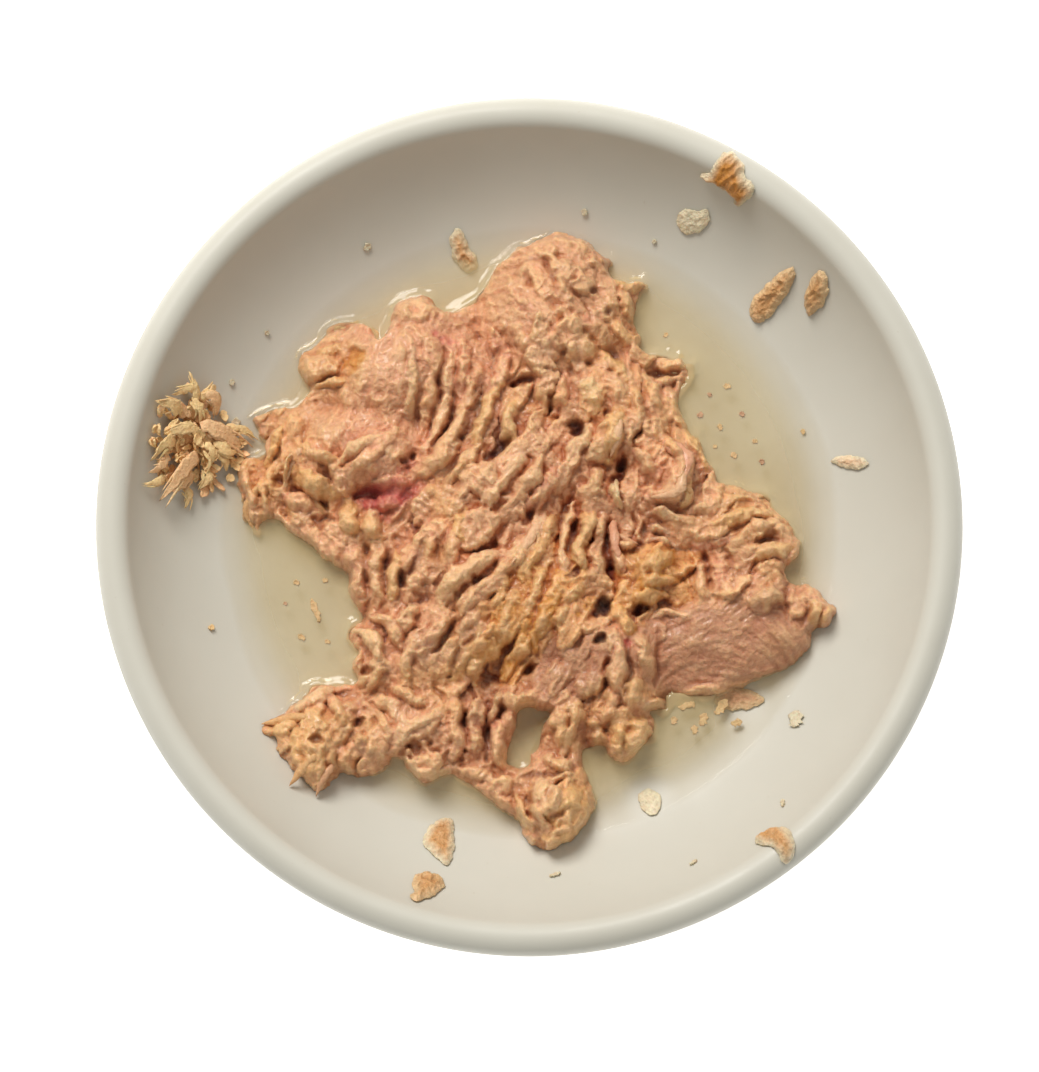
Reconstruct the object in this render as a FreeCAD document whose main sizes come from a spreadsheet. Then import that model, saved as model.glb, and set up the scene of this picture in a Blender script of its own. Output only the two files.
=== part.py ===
"""A shallow ceramic dish of flaked wet food lying in a thin pool of broth.

Millimetres, +Z up. The origin is the centre of the circle that the foot ring stands on.
The dish is turned from one profile. The broth fills its well up to a level, with a film of it
under the food. The food is a heap and some loose flakes: each is a bed of overlapping lobes,
cut by grooves and pits, that follows the dish below it.
"""
import FreeCAD, Part
import math
import os

import Mesh
import Sketcher
from FreeCAD import Vector

doc = FreeCAD.newDocument("dish_of_flaked_food")

# ------------------------------------------------------------------ driving sizes

SIZES = (
    ("rim_radius", 75.0, "outside of the lip"),
    ("lip_radius", 3.0, "half the thickness of the rolled lip"),
    ("dish_depth", 20.0, "from the face of the well up to the top of the lip"),
    ("well_radius", 42.0, "flat part of the well"),
    ("base_thickness", 4.5, "clay under the well"),
    ("foot_height", 2.5, "how far the foot ring stands below the base"),
    ("foot_radius", 40.0, "outside of the foot ring"),
    ("foot_width", 4.5, "width of the foot ring"),
    ("foot_round", 0.8, "rounding of the foot ring's edges"),
    ("broth_depth", 2.45, "from the face of the well up to the broth"),
    ("broth_film", 0.3, "broth left under the food"),
    ("broth_gap", 0.2, "between the broth's edge and the wall"),
    ("film_ease", 0.5, "how much further out the film starts to climb than the food on it"),
    ("heap_width", 106.6, "heap of food from its left tip to its right one"),
    ("heap_height", 14.0, "from the face of the well up to the highest lobe"),
    ("edge_rise", 0.5, "how far the heap's edge stands out of the broth"),
    ("seat_gap", 0.2, "between the food and the wall it lies on"),
    ("food_gap", 0.6, "between the heap and the loose flakes near it"),
    ("flake_edge", 0.7, "thickness of a loose flake at its edge"),
    ("tuft_length", 23.0, "tuft of small flakes, along the wall"),
    ("tuft_width", 19.5, "tuft of small flakes, up the wall"),
    ("tuft_height", 3.4, "how far the tuft's core stands off the wall"),
)

sheet = doc.addObject("Spreadsheet::Sheet", "Dims")
for row, (alias, value, note) in enumerate(SIZES, start=1):
    sheet.set(f"A{row}", alias)
    sheet.set(f"B{row}", str(value))
    sheet.set(f"C{row}", note)
    sheet.setAlias(f"B{row}", alias)
doc.recompute()


def size(alias):
    """The value of a driving size, in millimetres."""
    return float(sheet.get(alias))


# ------------------------------------------------------------------ the dish's inner face

WELL_FACE = size("foot_height") + size("base_thickness")
BROTH_LEVEL = WELL_FACE + size("broth_depth")
LIP_OUT = size("rim_radius") - size("lip_radius")
LIP_UP = size("dish_depth") - size("lip_radius")
WALL_SPAN = LIP_OUT - size("well_radius")
# The wall is one arc: level where it leaves the well, and tangent to the round of the lip.
WALL_RADIUS = (WALL_SPAN**2 + LIP_UP**2 - size("lip_radius") ** 2) / (2 * size("dish_depth"))
WALL_SWEEP = math.asin(WALL_SPAN / (WALL_RADIUS + size("lip_radius")))
WALL_LENGTH = WALL_RADIUS * WALL_SWEEP


def wall_station(climb):
    """Radius, height and lean of the inner face, at a length climbed along it from the well.

    A climb below nought is over the flat of the well, and one past the wall goes over the lip.
    """
    if climb <= 0:
        return size("well_radius") + climb, WELL_FACE, 0.0
    if climb <= WALL_LENGTH:
        lean = climb / WALL_RADIUS
        radius = size("well_radius") + WALL_RADIUS * math.sin(lean)
        return radius, WELL_FACE + WALL_RADIUS * (1 - math.cos(lean)), lean
    lean = WALL_SWEEP - (climb - WALL_LENGTH) / size("lip_radius")
    radius = LIP_OUT - size("lip_radius") * math.sin(lean)
    return radius, WELL_FACE + LIP_UP + size("lip_radius") * math.cos(lean), lean


def climb_at(radius):
    """The length climbed along the inner face at a radius inside the lip."""
    reach = radius - size("well_radius")
    if reach <= 0:
        return reach
    return WALL_RADIUS * math.asin(min(reach / WALL_RADIUS, math.sin(WALL_SWEEP)))


# ------------------------------------------------------------------ the pool's outline

POOL_SPREAD = math.sqrt(2 * WALL_RADIUS * size("broth_depth") - size("broth_depth") ** 2)
POOL_EDGE = size("well_radius") + POOL_SPREAD - size("broth_gap")
POOL_SLOPE = size("broth_depth") / (POOL_EDGE - size("well_radius"))


def broth_floor(radius):
    """The height at which food that stands in the broth ends: on the film below it."""
    climb = max(radius - size("well_radius"), 0)
    return WELL_FACE + size("broth_film") + POOL_SLOPE * climb


# ------------------------------------------------------------------ sketches

START, END, CENTRE = 1, 2, 3
ORIGIN = (-1, 1)
ACROSS_AXIS = -1
UP_AXIS = -2


def new_body(name):
    body = doc.addObject("PartDesign::Body", name)
    body.Label = name
    return body


def new_profile(body, name):
    """A sketch on the body's XZ plane: across it is the radius, and up it is the height."""
    sketch = body.newObject("Sketcher::SketchObject", name)
    plane = next(f for f in body.Origin.OriginFeatures if f.Role == "XZ_Plane")
    sketch.AttachmentSupport = [(plane, "")]
    sketch.MapMode = "FlatFace"
    return sketch


def line(sketch, start, end):
    return sketch.addGeometry(Part.LineSegment(Vector(*start, 0), Vector(*end, 0)))


def arc(sketch, centre, radius, first, last):
    """An arc that runs anticlockwise between two angles, in radians."""
    circle = Part.Circle(Vector(*centre, 0), Vector(0, 0, 1), radius)
    return sketch.addGeometry(Part.ArcOfCircle(circle, first, last))


def tie(sketch, kind, *places):
    sketch.addConstraint(Sketcher.Constraint(kind, *places))


def measure(sketch, name, kind, places, value, rule):
    """A named dimension, bound to a rule over the sheet's sizes."""
    index = sketch.addConstraint(Sketcher.Constraint(kind, *places, value))
    sketch.renameConstraint(index, name)
    sketch.setExpression(f"Constraints.{name}", rule)


def closed_profile(body, name, corners):
    """A sketch of straight lines through some corners. The last line lies on the axis."""
    sketch = new_profile(body, name)
    sides = []
    for start, end in zip(corners, corners[1:] + corners[:1]):
        side = line(sketch, start, end)
        if start[1] == end[1]:
            tie(sketch, "Horizontal", side)
        if start[0] == end[0]:
            tie(sketch, "Vertical", side)
        sides.append(side)
    for before, after in zip(sides, sides[1:] + sides[:1]):
        tie(sketch, "Coincident", before, END, after, START)
    tie(sketch, "PointOnObject", sides[0], START, UP_AXIS)
    return sketch, sides


def revolve(body, sketch, name):
    turned = body.newObject("PartDesign::Revolution", name)
    turned.Profile = sketch
    turned.ReferenceAxis = (sketch, ["V_Axis"])
    turned.Angle = 360.0
    doc.recompute()
    return turned


# ------------------------------------------------------------------ the dish


def make_dish():
    """The dish, turned from one closed profile: well, wall, rolled lip, back and foot ring."""
    body = new_body("dish")
    sketch = new_profile(body, "dish_profile")
    well, foot, width = size("well_radius"), size("foot_radius"), size("foot_width")
    base, lip = size("foot_height"), size("lip_radius")
    back_rise = LIP_UP + size("base_thickness")
    back_radius = (WALL_SPAN**2 + back_rise**2 - lip**2) / (2 * (back_rise - lip))
    back_end = math.atan2(back_rise - back_radius, WALL_SPAN)
    wall_end = WALL_SWEEP - math.pi / 2
    lip_centre = (LIP_OUT, WELL_FACE + LIP_UP)

    well_line = line(sketch, (0, WELL_FACE), (well, WELL_FACE))
    wall_arc = arc(sketch, (well, WELL_FACE + WALL_RADIUS), WALL_RADIUS, -math.pi / 2, wall_end)
    lip_outside = arc(sketch, lip_centre, lip, back_end, math.pi / 2)
    lip_inside = arc(sketch, lip_centre, lip, math.pi / 2, math.pi + wall_end)
    back_arc = arc(sketch, (well, base + back_radius), back_radius, -math.pi / 2, back_end)
    base_line = line(sketch, (well, base), (foot, base))
    foot_outside = line(sketch, (foot, base), (foot, 0))
    foot_face = line(sketch, (foot, 0), (foot - width, 0))
    foot_inside = line(sketch, (foot - width, 0), (foot - width, base))
    under_line = line(sketch, (foot - width, base), (0, base))
    axis_line = line(sketch, (0, base), (0, WELL_FACE))

    tie(sketch, "Tangent", well_line, END, wall_arc, START)
    tie(sketch, "Tangent", wall_arc, END, lip_inside, END)
    tie(sketch, "Tangent", lip_outside, END, lip_inside, START)
    tie(sketch, "Tangent", lip_outside, START, back_arc, END)
    tie(sketch, "Vertical", lip_outside, END, lip_outside, CENTRE)
    tie(sketch, "Tangent", back_arc, START, base_line, START)
    corners = (base_line, foot_outside, foot_face, foot_inside, under_line, axis_line, well_line)
    for before, after in zip(corners, corners[1:]):
        tie(sketch, "Coincident", before, END, after, START)
    for level in (well_line, base_line, under_line, foot_face):
        tie(sketch, "Horizontal", level)
    for upright in (foot_outside, foot_inside, axis_line):
        tie(sketch, "Vertical", upright)
    tie(sketch, "PointOnObject", axis_line, START, UP_AXIS)
    tie(sketch, "PointOnObject", foot_face, START, ACROSS_AXIS)
    tie(sketch, "Horizontal", base_line, END, under_line, START)
    tie(sketch, "Vertical", well_line, END, base_line, START)

    measure(sketch, "well", "DistanceX", (*ORIGIN, well_line, END), well, "Dims.well_radius")
    measure(
        sketch, "thick", "DistanceY", (base_line, START, well_line, END),
        size("base_thickness"), "Dims.base_thickness",
    )
    measure(sketch, "foot_drop", "DistanceY", (*ORIGIN, base_line, END), base, "Dims.foot_height")
    measure(sketch, "lip", "Radius", (lip_inside,), lip, "Dims.lip_radius")
    measure(
        sketch, "rim", "DistanceX", (*ORIGIN, lip_inside, CENTRE),
        LIP_OUT, "Dims.rim_radius - Dims.lip_radius",
    )
    measure(
        sketch, "depth", "DistanceY", (well_line, END, lip_inside, CENTRE),
        LIP_UP, "Dims.dish_depth - Dims.lip_radius",
    )
    measure(sketch, "foot", "DistanceX", (*ORIGIN, foot_face, START), foot, "Dims.foot_radius")
    measure(
        sketch, "foot_across", "DistanceX", (foot_face, END, foot_face, START),
        width, "Dims.foot_width",
    )
    doc.recompute()
    turned = revolve(body, sketch, "dish_turned")

    rounds = body.newObject("PartDesign::Fillet", "foot_rounds")
    rounds.Base = (turned, foot_edges(turned.Shape, foot, foot - width))
    rounds.setExpression("Radius", "Dims.foot_round")
    doc.recompute()
    return body


def foot_edges(shape, *radii):
    """The names of the circles, at the foot's face, that have one of some radii."""
    return [
        f"Edge{number}"
        for number, edge in enumerate(shape.Edges, start=1)
        if isinstance(edge.Curve, Part.Circle)
        and abs(edge.Curve.Center.z) < 1e-6
        and min(abs(edge.Curve.Radius - radius) for radius in radii) < 1e-6
    ]


# ------------------------------------------------------------------ lobes of food
#
# A lobe is an oval dome: (u, w, half length, half width, turn in degrees, height).
# A piece's outline is the outside of all its lobes, and its top is their rounded union.

LOBE_BLEND = 7  # a higher number leaves sharper creases where lobes meet


def lobe_distance(lobe, u, w):
    """How far out of a lobe a place is, as a share of the lobe's own size: 1 at its outline."""
    centre_u, centre_w, half_length, half_width, turn = lobe[:5]
    sine, cosine = math.sin(math.radians(turn)), math.cos(math.radians(turn))
    along = (u - centre_u) * cosine + (w - centre_w) * sine
    across = (w - centre_w) * cosine - (u - centre_u) * sine
    return math.hypot(along / half_length, across / half_width)


def lobes_reach(lobes, u, w):
    """About how many millimetres a place lies inside the outline of some lobes."""
    return max((1 - lobe_distance(lobe, u, w)) * min(lobe[2:4]) for lobe in lobes)


def lobes_rise(lobes, u, w):
    """The height of some lobes' rounded union."""
    total = 0.0
    for lobe in lobes:
        distance = lobe_distance(lobe, u, w)
        if distance < 1:
            total += (lobe[5] * math.sqrt(1 - distance**2)) ** LOBE_BLEND
    return total ** (1 / LOBE_BLEND)


def lobes_box(lobes):
    """Low and high u, then low and high w, of a box that holds some lobes."""
    return (
        min(lobe[0] - lobe[2] for lobe in lobes),
        max(lobe[0] + lobe[2] for lobe in lobes),
        min(lobe[1] - lobe[2] for lobe in lobes),
        max(lobe[1] + lobe[2] for lobe in lobes),
    )


# ------------------------------------------------------------------ laying a piece on the dish


def trimmed_lattice(reach, box, pitch):
    """A lattice of triangles cut off along the line where a reach falls to nought.

    Returns the places (u, w) and the triangles, as anticlockwise threes of place numbers.
    """
    low_u, high_u, low_w, high_w = box
    row_step = pitch * math.sqrt(3) / 2
    columns = math.ceil((high_u - low_u) / pitch) + 3
    rows = math.ceil((high_w - low_w) / row_step) + 3
    spots = {}
    inside = {}
    for j in range(rows):
        for i in range(columns):
            u = low_u + (i - 1 - 0.5 * (j % 2)) * pitch
            w = low_w + (j - 1) * row_step
            spots[i, j] = (u, w)
            inside[i, j] = reach(u, w)

    places = []
    numbers = {}

    def number(key, place):
        if key not in numbers:
            numbers[key] = len(places)
            places.append(place)
        return numbers[key]

    def crossing(one, other):
        """The place between two spots where the outline runs, kept off both of them."""
        first, last = sorted((one, other))
        share = inside[first] / (inside[first] - inside[last])
        share = min(max(share, 0.2), 0.8)
        (u1, w1), (u2, w2) = spots[first], spots[last]
        return number((first, last), (u1 + (u2 - u1) * share, w1 + (w2 - w1) * share))

    triangles = []
    for j in range(rows - 1):
        for i in range(columns - 1):
            a, b, c, d = (i, j), (i + 1, j), (i + 1, j + 1), (i, j + 1)
            pair = ((a, b, d), (b, c, d)) if j % 2 else ((a, b, c), (a, c, d))
            for three in pair:
                ring = []
                for spot, following in zip(three, three[1:] + three[:1]):
                    if inside[spot] > 0:
                        ring.append(number(spot, spots[spot]))
                    if (inside[spot] > 0) != (inside[following] > 0):
                        ring.append(crossing(spot, following))
                for n in range(1, len(ring) - 1):
                    triangles.append((ring[0], ring[n], ring[n + 1]))
    return places, triangles


def border_loops(triangles):
    """The loops of place numbers round some triangles, in the triangles' own sense."""
    edges = {(t[n], t[(n + 1) % 3]) for t in triangles for n in range(3)}
    following = {a: b for a, b in edges if (b, a) not in edges}
    loops = []
    while following:
        place = next(iter(following))
        loop = []
        while place in following:
            loop.append(place)
            place = following.pop(place)
        loops.append(loop)
    return loops


def lay_piece(name, reach, thickness, lay, box, pitch):
    """A solid piece of food. Returns the loops of its underside's corners: the outer ones run
    anticlockwise seen from above, and those round its gaps run clockwise.

    lay gives, for a place, the corner on the dish and the way that the piece stands off it.
    """
    places, triangles = trimmed_lattice(reach, box, pitch)
    under, upper = [], []
    for u, w in places:
        corner, up = lay(u, w)
        under.append(corner)
        upper.append(corner + up * thickness(u, w, corner))
    loops = border_loops(triangles)
    facets = []
    for a, b, c in triangles:
        facets += [upper[a], upper[b], upper[c], under[c], under[b], under[a]]
    for loop in loops:
        for a, b in zip(loop, loop[1:] + loop[:1]):
            facets += [under[a], under[b], upper[b], under[a], upper[b], upper[a]]
    skin = Part.Shape()
    skin.makeShapeFromMesh(Mesh.Mesh(facets).Topology, 0.001)
    solids = [Part.makeSolid(shell).removeSplitter() for shell in skin.Shells]
    piece = doc.addObject("Part::Feature", name)
    piece.Label = name
    piece.Shape = solids[0] if len(solids) == 1 else Part.Compound(solids)
    piece.Placement = FreeCAD.Placement()
    return [[under[corner] for corner in loop] for loop in loops]


def standing_corner(radius, bearing):
    """The corner of an upright piece over the dish: on the film of broth, or off the wall."""
    height = broth_floor(radius)
    if radius > size("well_radius"):
        height = max(height, wall_station(climb_at(radius))[1] + size("seat_gap"))
    return Vector(radius * math.cos(bearing), radius * math.sin(bearing), height)


# ------------------------------------------------------------------ loose flakes
#
# Each lies at a bearing, in degrees, and at a share of the way up the wall. Its u runs
# anticlockwise round the dish, and its w up the wall. An upright one stands in the broth.

LOOSE_FLAKES = {
    "flake_orange": (
        103.3, 0.30, True,
        ((0, 0, 3.4, 2.0, 75, 1.6), (0.6, -2.0, 2.0, 1.7, 20, 1.9), (0.2, 2.8, 1.5, 1.1, 90, 0.8)),
    ),
    "flake_gold": (
        59.9, 1.0, False,
        ((0, 0.6, 4.3, 2.7, 20, 1.7), (-2.6, -1.4, 2.3, 1.6, 60, 1.2), (3.2, 1.6, 2.0, 1.0, 10, 0.8)),
    ),
    "flake_pale": (62.2, 0.65, False, ((0, 0, 3.0, 2.3, 30, 1.2), (2.2, 1.2, 1.8, 1.3, 60, 0.8))),
    "flake_long": (
        44.1, 0.565, False,
        ((0, -0.8, 4.4, 2.4, 84, 2.0), (-0.2, 3.4, 3.0, 1.3, 84, 1.2)),
    ),
    "flake_short": (39.2, 0.79, False, ((0, 0, 3.6, 1.9, 64, 1.5), (0.5, 2.4, 2.0, 0.9, 64, 0.8))),
    "flake_thin": (12.1, 0.49, False, ((0, 0, 3.2, 1.5, 115, 1.0), (-1.4, 2.4, 1.6, 0.8, 125, 0.6))),
    "flake_curled": (
        -53.2, 1.0, False,
        ((0, 0, 3.4, 2.4, 35, 1.6), (3.0, 1.2, 2.4, 1.0, 80, 0.9)),
    ),
    "flake_tall": (
        -105.9, 0.45, True,
        ((-0.4, -1.4, 3.0, 2.5, 70, 1.5), (0.6, 2.0, 3.4, 1.4, 78, 1.1)),
    ),
    "flake_round": (-105.8, 0.79, False, ((0, 0, 2.9, 2.6, -30, 2.0), (-1.8, 1.6, 1.7, 1.2, 40, 1.1))),
    "flake_slab_edge": (
        -38.6, 0.17, True,
        ((0, 0, 4.4, 2.0, 40, 1.4), (3.0, 2.2, 2.3, 1.4, 20, 1.1), (-3.0, -2.4, 2.6, 1.7, 60, 0.9)),
    ),
    "flake_low_pale": (-66.0, 0.29, True, ((0, 0, 2.4, 1.8, 60, 1.2), (1.0, 1.8, 1.6, 1.0, 80, 0.8))),
}
FLAKE_PITCH = 1.35

TUFT_BEARING = 165.2
TUFT_CLIMB = 0.67  # share of the way up the wall
TUFT_POINTS = 11
TUFT_PITCH = 1.45


def tuft_lobes():
    """A core with a ring of slender pointed flakes round it and another, steeper, on top."""
    half_u, half_w = size("tuft_length") / 2, size("tuft_width") / 2
    height = size("tuft_height")
    lobes = [
        (-0.35 * half_u, 0, 0.42 * half_u, 0.55 * half_w, 90, 0.9 * height),
        (0.3 * half_u, 0, 0.5 * half_u, 0.72 * half_w, 90, height),
    ]
    for n in range(TUFT_POINTS):
        angle = 2 * math.pi * (n + 0.3 * math.sin(5.3 * n)) / TUFT_POINTS
        out = 0.64 + 0.05 * math.cos(3.7 * n)
        place = (out * half_u * math.cos(angle), out * half_w * math.sin(angle))
        turn = math.degrees(angle) + 14 * math.sin(2.9 * n)
        lobes.append((*place, 0.34 * half_u, 0.14 * half_w, turn, height * (0.5 + 0.2 * math.sin(n))))
    return tuple(lobes)


def flake_place(bearing, share):
    return math.radians(bearing), share * WALL_LENGTH


def lay_flake(name, bearing, share, upright, lobes, pitch):
    """A loose flake on the wall, standing off its face, or straight up where it is in broth."""
    middle, climb = flake_place(bearing, share)

    def lay(u, w):
        radius, height, lean = wall_station(climb + w)
        angle = middle + u / radius
        if upright:
            return standing_corner(radius, angle), Vector(0, 0, 1)
        inward = math.sin(lean)
        off = Vector(-inward * math.cos(angle), -inward * math.sin(angle), math.cos(lean))
        face = Vector(radius * math.cos(angle), radius * math.sin(angle), height)
        return face + off * size("seat_gap"), off

    def reach(u, w):
        return lobes_reach(lobes, u, w)

    def thickness(u, w, corner):
        return size("flake_edge") + lobes_rise(lobes, u, w)

    return lay_piece(name, reach, thickness, lay, lobes_box(lobes), pitch)


def flake_reach_at(x, y, bearing, share, lobes):
    """About how far a place, seen from above, lies inside a loose flake or in its lee.

    The lee is what lies further up the wall than the flake's middle.
    """
    middle, climb = flake_place(bearing, share)
    radius = math.hypot(x, y)
    turn = math.remainder(math.atan2(y, x) - middle, 2 * math.pi)
    return lobes_reach(lobes, turn * radius, min(climb_at(radius) - climb, 0))


# ------------------------------------------------------------------ the heap
#
# Its lobes, grooves and pits are drawn on a heap as wide as HEAP_DRAWN, with heights as shares
# of the tallest, and are then sized to heap_width and heap_height.

HEAP_DRAWN = 108.0
HEAP_BACK = -0.9  # how far behind the dish's axis, towards +Y, the drawing's middle lies
HEAP_LOBES = (
    # the tall upper mound, its tip and its right shoulder
    (3.5, 38, 17, 12.5, 82, 0.95),
    (7, 50, 6.5, 6, 0, 0.55),
    (14, 40, 10, 5.5, 100, 0.6),
    (18.5, 45.3, 3.6, 2.0, 35, 0.2),
    # the left mound with its ear, the lump below it and the left tip
    (-22, 29, 16, 12.5, 55, 0.9),
    (-36.5, 29, 6.5, 6, 30, 0.35),
    (-31, 14, 14, 9.5, 8, 0.95),
    (-43, 19.5, 7, 4.5, 20, 0.35),
    (-47, 7.5, 7.5, 5.5, 110, 0.35),
    (-32, 2, 13, 8, 145, 0.6),
    (-27, -7, 8, 7, 90, 0.5),
    # the middle
    (-6, 10, 18, 15, 60, 1.0),
    (-12, -10, 19, 15, 60, 0.95),
    (3, -10, 16, 14, 90, 0.9),
    (14, 16, 20, 14, 110, 0.85),
    (-7.5, 28, 7, 7, 0, 0.7),
    (-22.5, 5, 7, 6, 0, 0.65),
    (20, -6, 8, 6.5, 90, 0.8),
    (-12, -30, 6.5, 5.5, 0, 0.55),
    # the right: upper flank, thin lobe, upper right lobe, slab, bean and tip
    (26, 29, 3.8, 4.2, 90, 0.1),
    (25, 9, 14, 8, 110, 0.7),
    (26.6, 12.6, 5.2, 2.3, 96, 0.95),
    (24, 7.4, 3.6, 2.2, 25, 0.85),
    (38, 0, 12, 7, -28, 0.55),
    (34, -15, 17, 12, 8, 0.55),
    (43, -18, 9, 5.5, 25, 0.5),
    (49.5, -13, 5.6, 3.6, 0, 0.4),
    (40.5, -11, 4.2, 2.2, 25, 0.62),
    # the upright fold right of the middle, and its toe
    (15, -22, 14, 7, 95, 0.9),
    (17, -34.5, 6.5, 4.2, 60, 0.5),
    (4, -29, 12, 9, 10, 0.6),
    # the lower curl and the rim that runs to it
    (4, -48, 8, 7.2, 100, 0.7),
    (-4, -41, 12, 6.5, -32, 0.35),
    (7, -40, 4.6, 3.6, 90, 0.4),
    # the lower left: waist, fold and lobe
    (-22, -21, 11, 9.5, 60, 0.7),
    (-19, -36, 9, 7, -40, 0.65),
    (-35.8, -35.2, 9.8, 8, 50, 0.6),
    (-28, -36.5, 7, 5.5, 0, 0.5),
)
# Combs of grooves: (u, w, direction in degrees, length, pitch, count, depth).
HEAP_COMBS = (
    (-14, 23, 72, 22, 4.4, 3, 2.6),
    (-1, 3, 60, 17, 4.8, 4, 3.0),
    (-14, -19, 55, 15, 4.4, 4, 2.6),
    (6, -11, 66, 14, 4.6, 3, 2.4),
    (-33, 9, 20, 16, 5.0, 2, 2.2),
    (34, -19, 8, 22, 4.6, 3, 0.9),
    (16, -27, 92, 16, 5.0, 2, 1.6),
)
GROOVE_SHARE = 0.26  # of the pitch, half the width of a groove
# Pits: (u, w, radius, depth).
HEAP_PITS = (
    (7.8, 18.8, 2.6, 5.0),
    (16.5, 11.5, 4.2, 5.5),
    (-6.8, 14.8, 2.8, 4.0),
    (-5.2, 32.2, 3.4, 3.5),
    (12.3, -14.0, 3.4, 4.5),
    (22.5, 0.8, 3.2, 3.5),
    (-27, 6.2, 3.6, 3.0),
    (-37, 2.0, 2.8, 2.4),
    (-19, -11.5, 2.8, 2.4),
    (-9.5, -33, 3.2, 3.6),
    (12.5, 42.6, 2.2, 2.0),
)
# Gaps that go right through: (u, w, half length, half width, turn in degrees).
HEAP_GAPS = ((0.6, -36.2, 4.8, 3.0, 65),)
HEAP_PITCH = 2.3
LEAST_HEAP = 1.2  # the heap is no thinner than this


def grooves_depth(u, w):
    """How deep the combs of grooves cut at a place on the drawn heap."""
    depth = 0.0
    for centre_u, centre_w, direction, length, pitch, count, deepest in HEAP_COMBS:
        sine, cosine = math.sin(math.radians(direction)), math.cos(math.radians(direction))
        along = (u - centre_u) * cosine + (w - centre_w) * sine
        across = (w - centre_w) * cosine - (u - centre_u) * sine
        fade = 1 - (2 * along / length) ** 2
        if fade <= 0:
            continue
        for n in range(count):
            off = across - (n - (count - 1) / 2) * pitch
            depth += deepest * fade * math.exp(-((off / (GROOVE_SHARE * pitch)) ** 2))
    return depth


def pits_depth(u, w):
    """How deep the pits cut at a place on the drawn heap."""
    depth = 0.0
    for centre_u, centre_w, radius, deepest in HEAP_PITS:
        distance = math.hypot(u - centre_u, w - centre_w) / radius
        depth = max(depth, deepest * (1 - distance**2))
    return depth


def rucks(u, w):
    """The food's small unevenness."""
    return 0.35 * math.sin(1.3 * u + 0.8 * w) * math.sin(1.7 * w - 0.5 * u) + 0.25 * math.sin(2.3 * u)


def make_heap(neighbours):
    """The heap, kept inside the lip and clear of the loose flakes. Returns its outline."""
    scale = size("heap_width") / HEAP_DRAWN
    box = [scale * side for side in lobes_box(HEAP_LOBES)]
    brim = wall_station(WALL_LENGTH)[0] - size("food_gap")

    def reach(x, y):
        inside = scale * lobes_reach(HEAP_LOBES, x / scale, y / scale)
        for gap in HEAP_GAPS:
            inside = min(inside, -scale * lobes_reach([gap], x / scale, y / scale))
        y += HEAP_BACK
        inside = min(inside, brim - math.hypot(x, y))
        for bearing, share, lobes in neighbours:
            inside = min(inside, -flake_reach_at(x, y, bearing, share, lobes) - size("food_gap"))
        return inside

    tallest = max(
        lobes_rise(HEAP_LOBES, lobe[0] + du, lobe[1] + dw)
        for lobe in HEAP_LOBES
        for du in (-4, 0, 4)
        for dw in (-4, 0, 4)
    )
    lift = (size("heap_height") - size("broth_depth") - size("edge_rise")) / tallest

    def thickness(x, y, corner):
        u, w = x / scale, y / scale
        edge = max(size("flake_edge"), BROTH_LEVEL + size("edge_rise") - corner.z)
        rise = lift * lobes_rise(HEAP_LOBES, u, w)
        carved = min(grooves_depth(u, w) + pits_depth(u, w) + rucks(u, w), 0.75 * rise)
        return max(edge + rise - carved, LEAST_HEAP)

    def lay(x, y):
        y += HEAP_BACK
        return standing_corner(math.hypot(x, y), math.atan2(y, x)), Vector(0, 0, 1)

    return lay_piece("food_heap", reach, thickness, lay, box, HEAP_PITCH * scale)


# ------------------------------------------------------------------ the broth


def area_within(loop):
    """The area inside a loop of corners seen from above: negative where it runs clockwise."""
    pairs = zip(loop, loop[1:] + loop[:1])
    return sum(a.x * b.y - b.x * a.y for a, b in pairs) / 2


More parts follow.
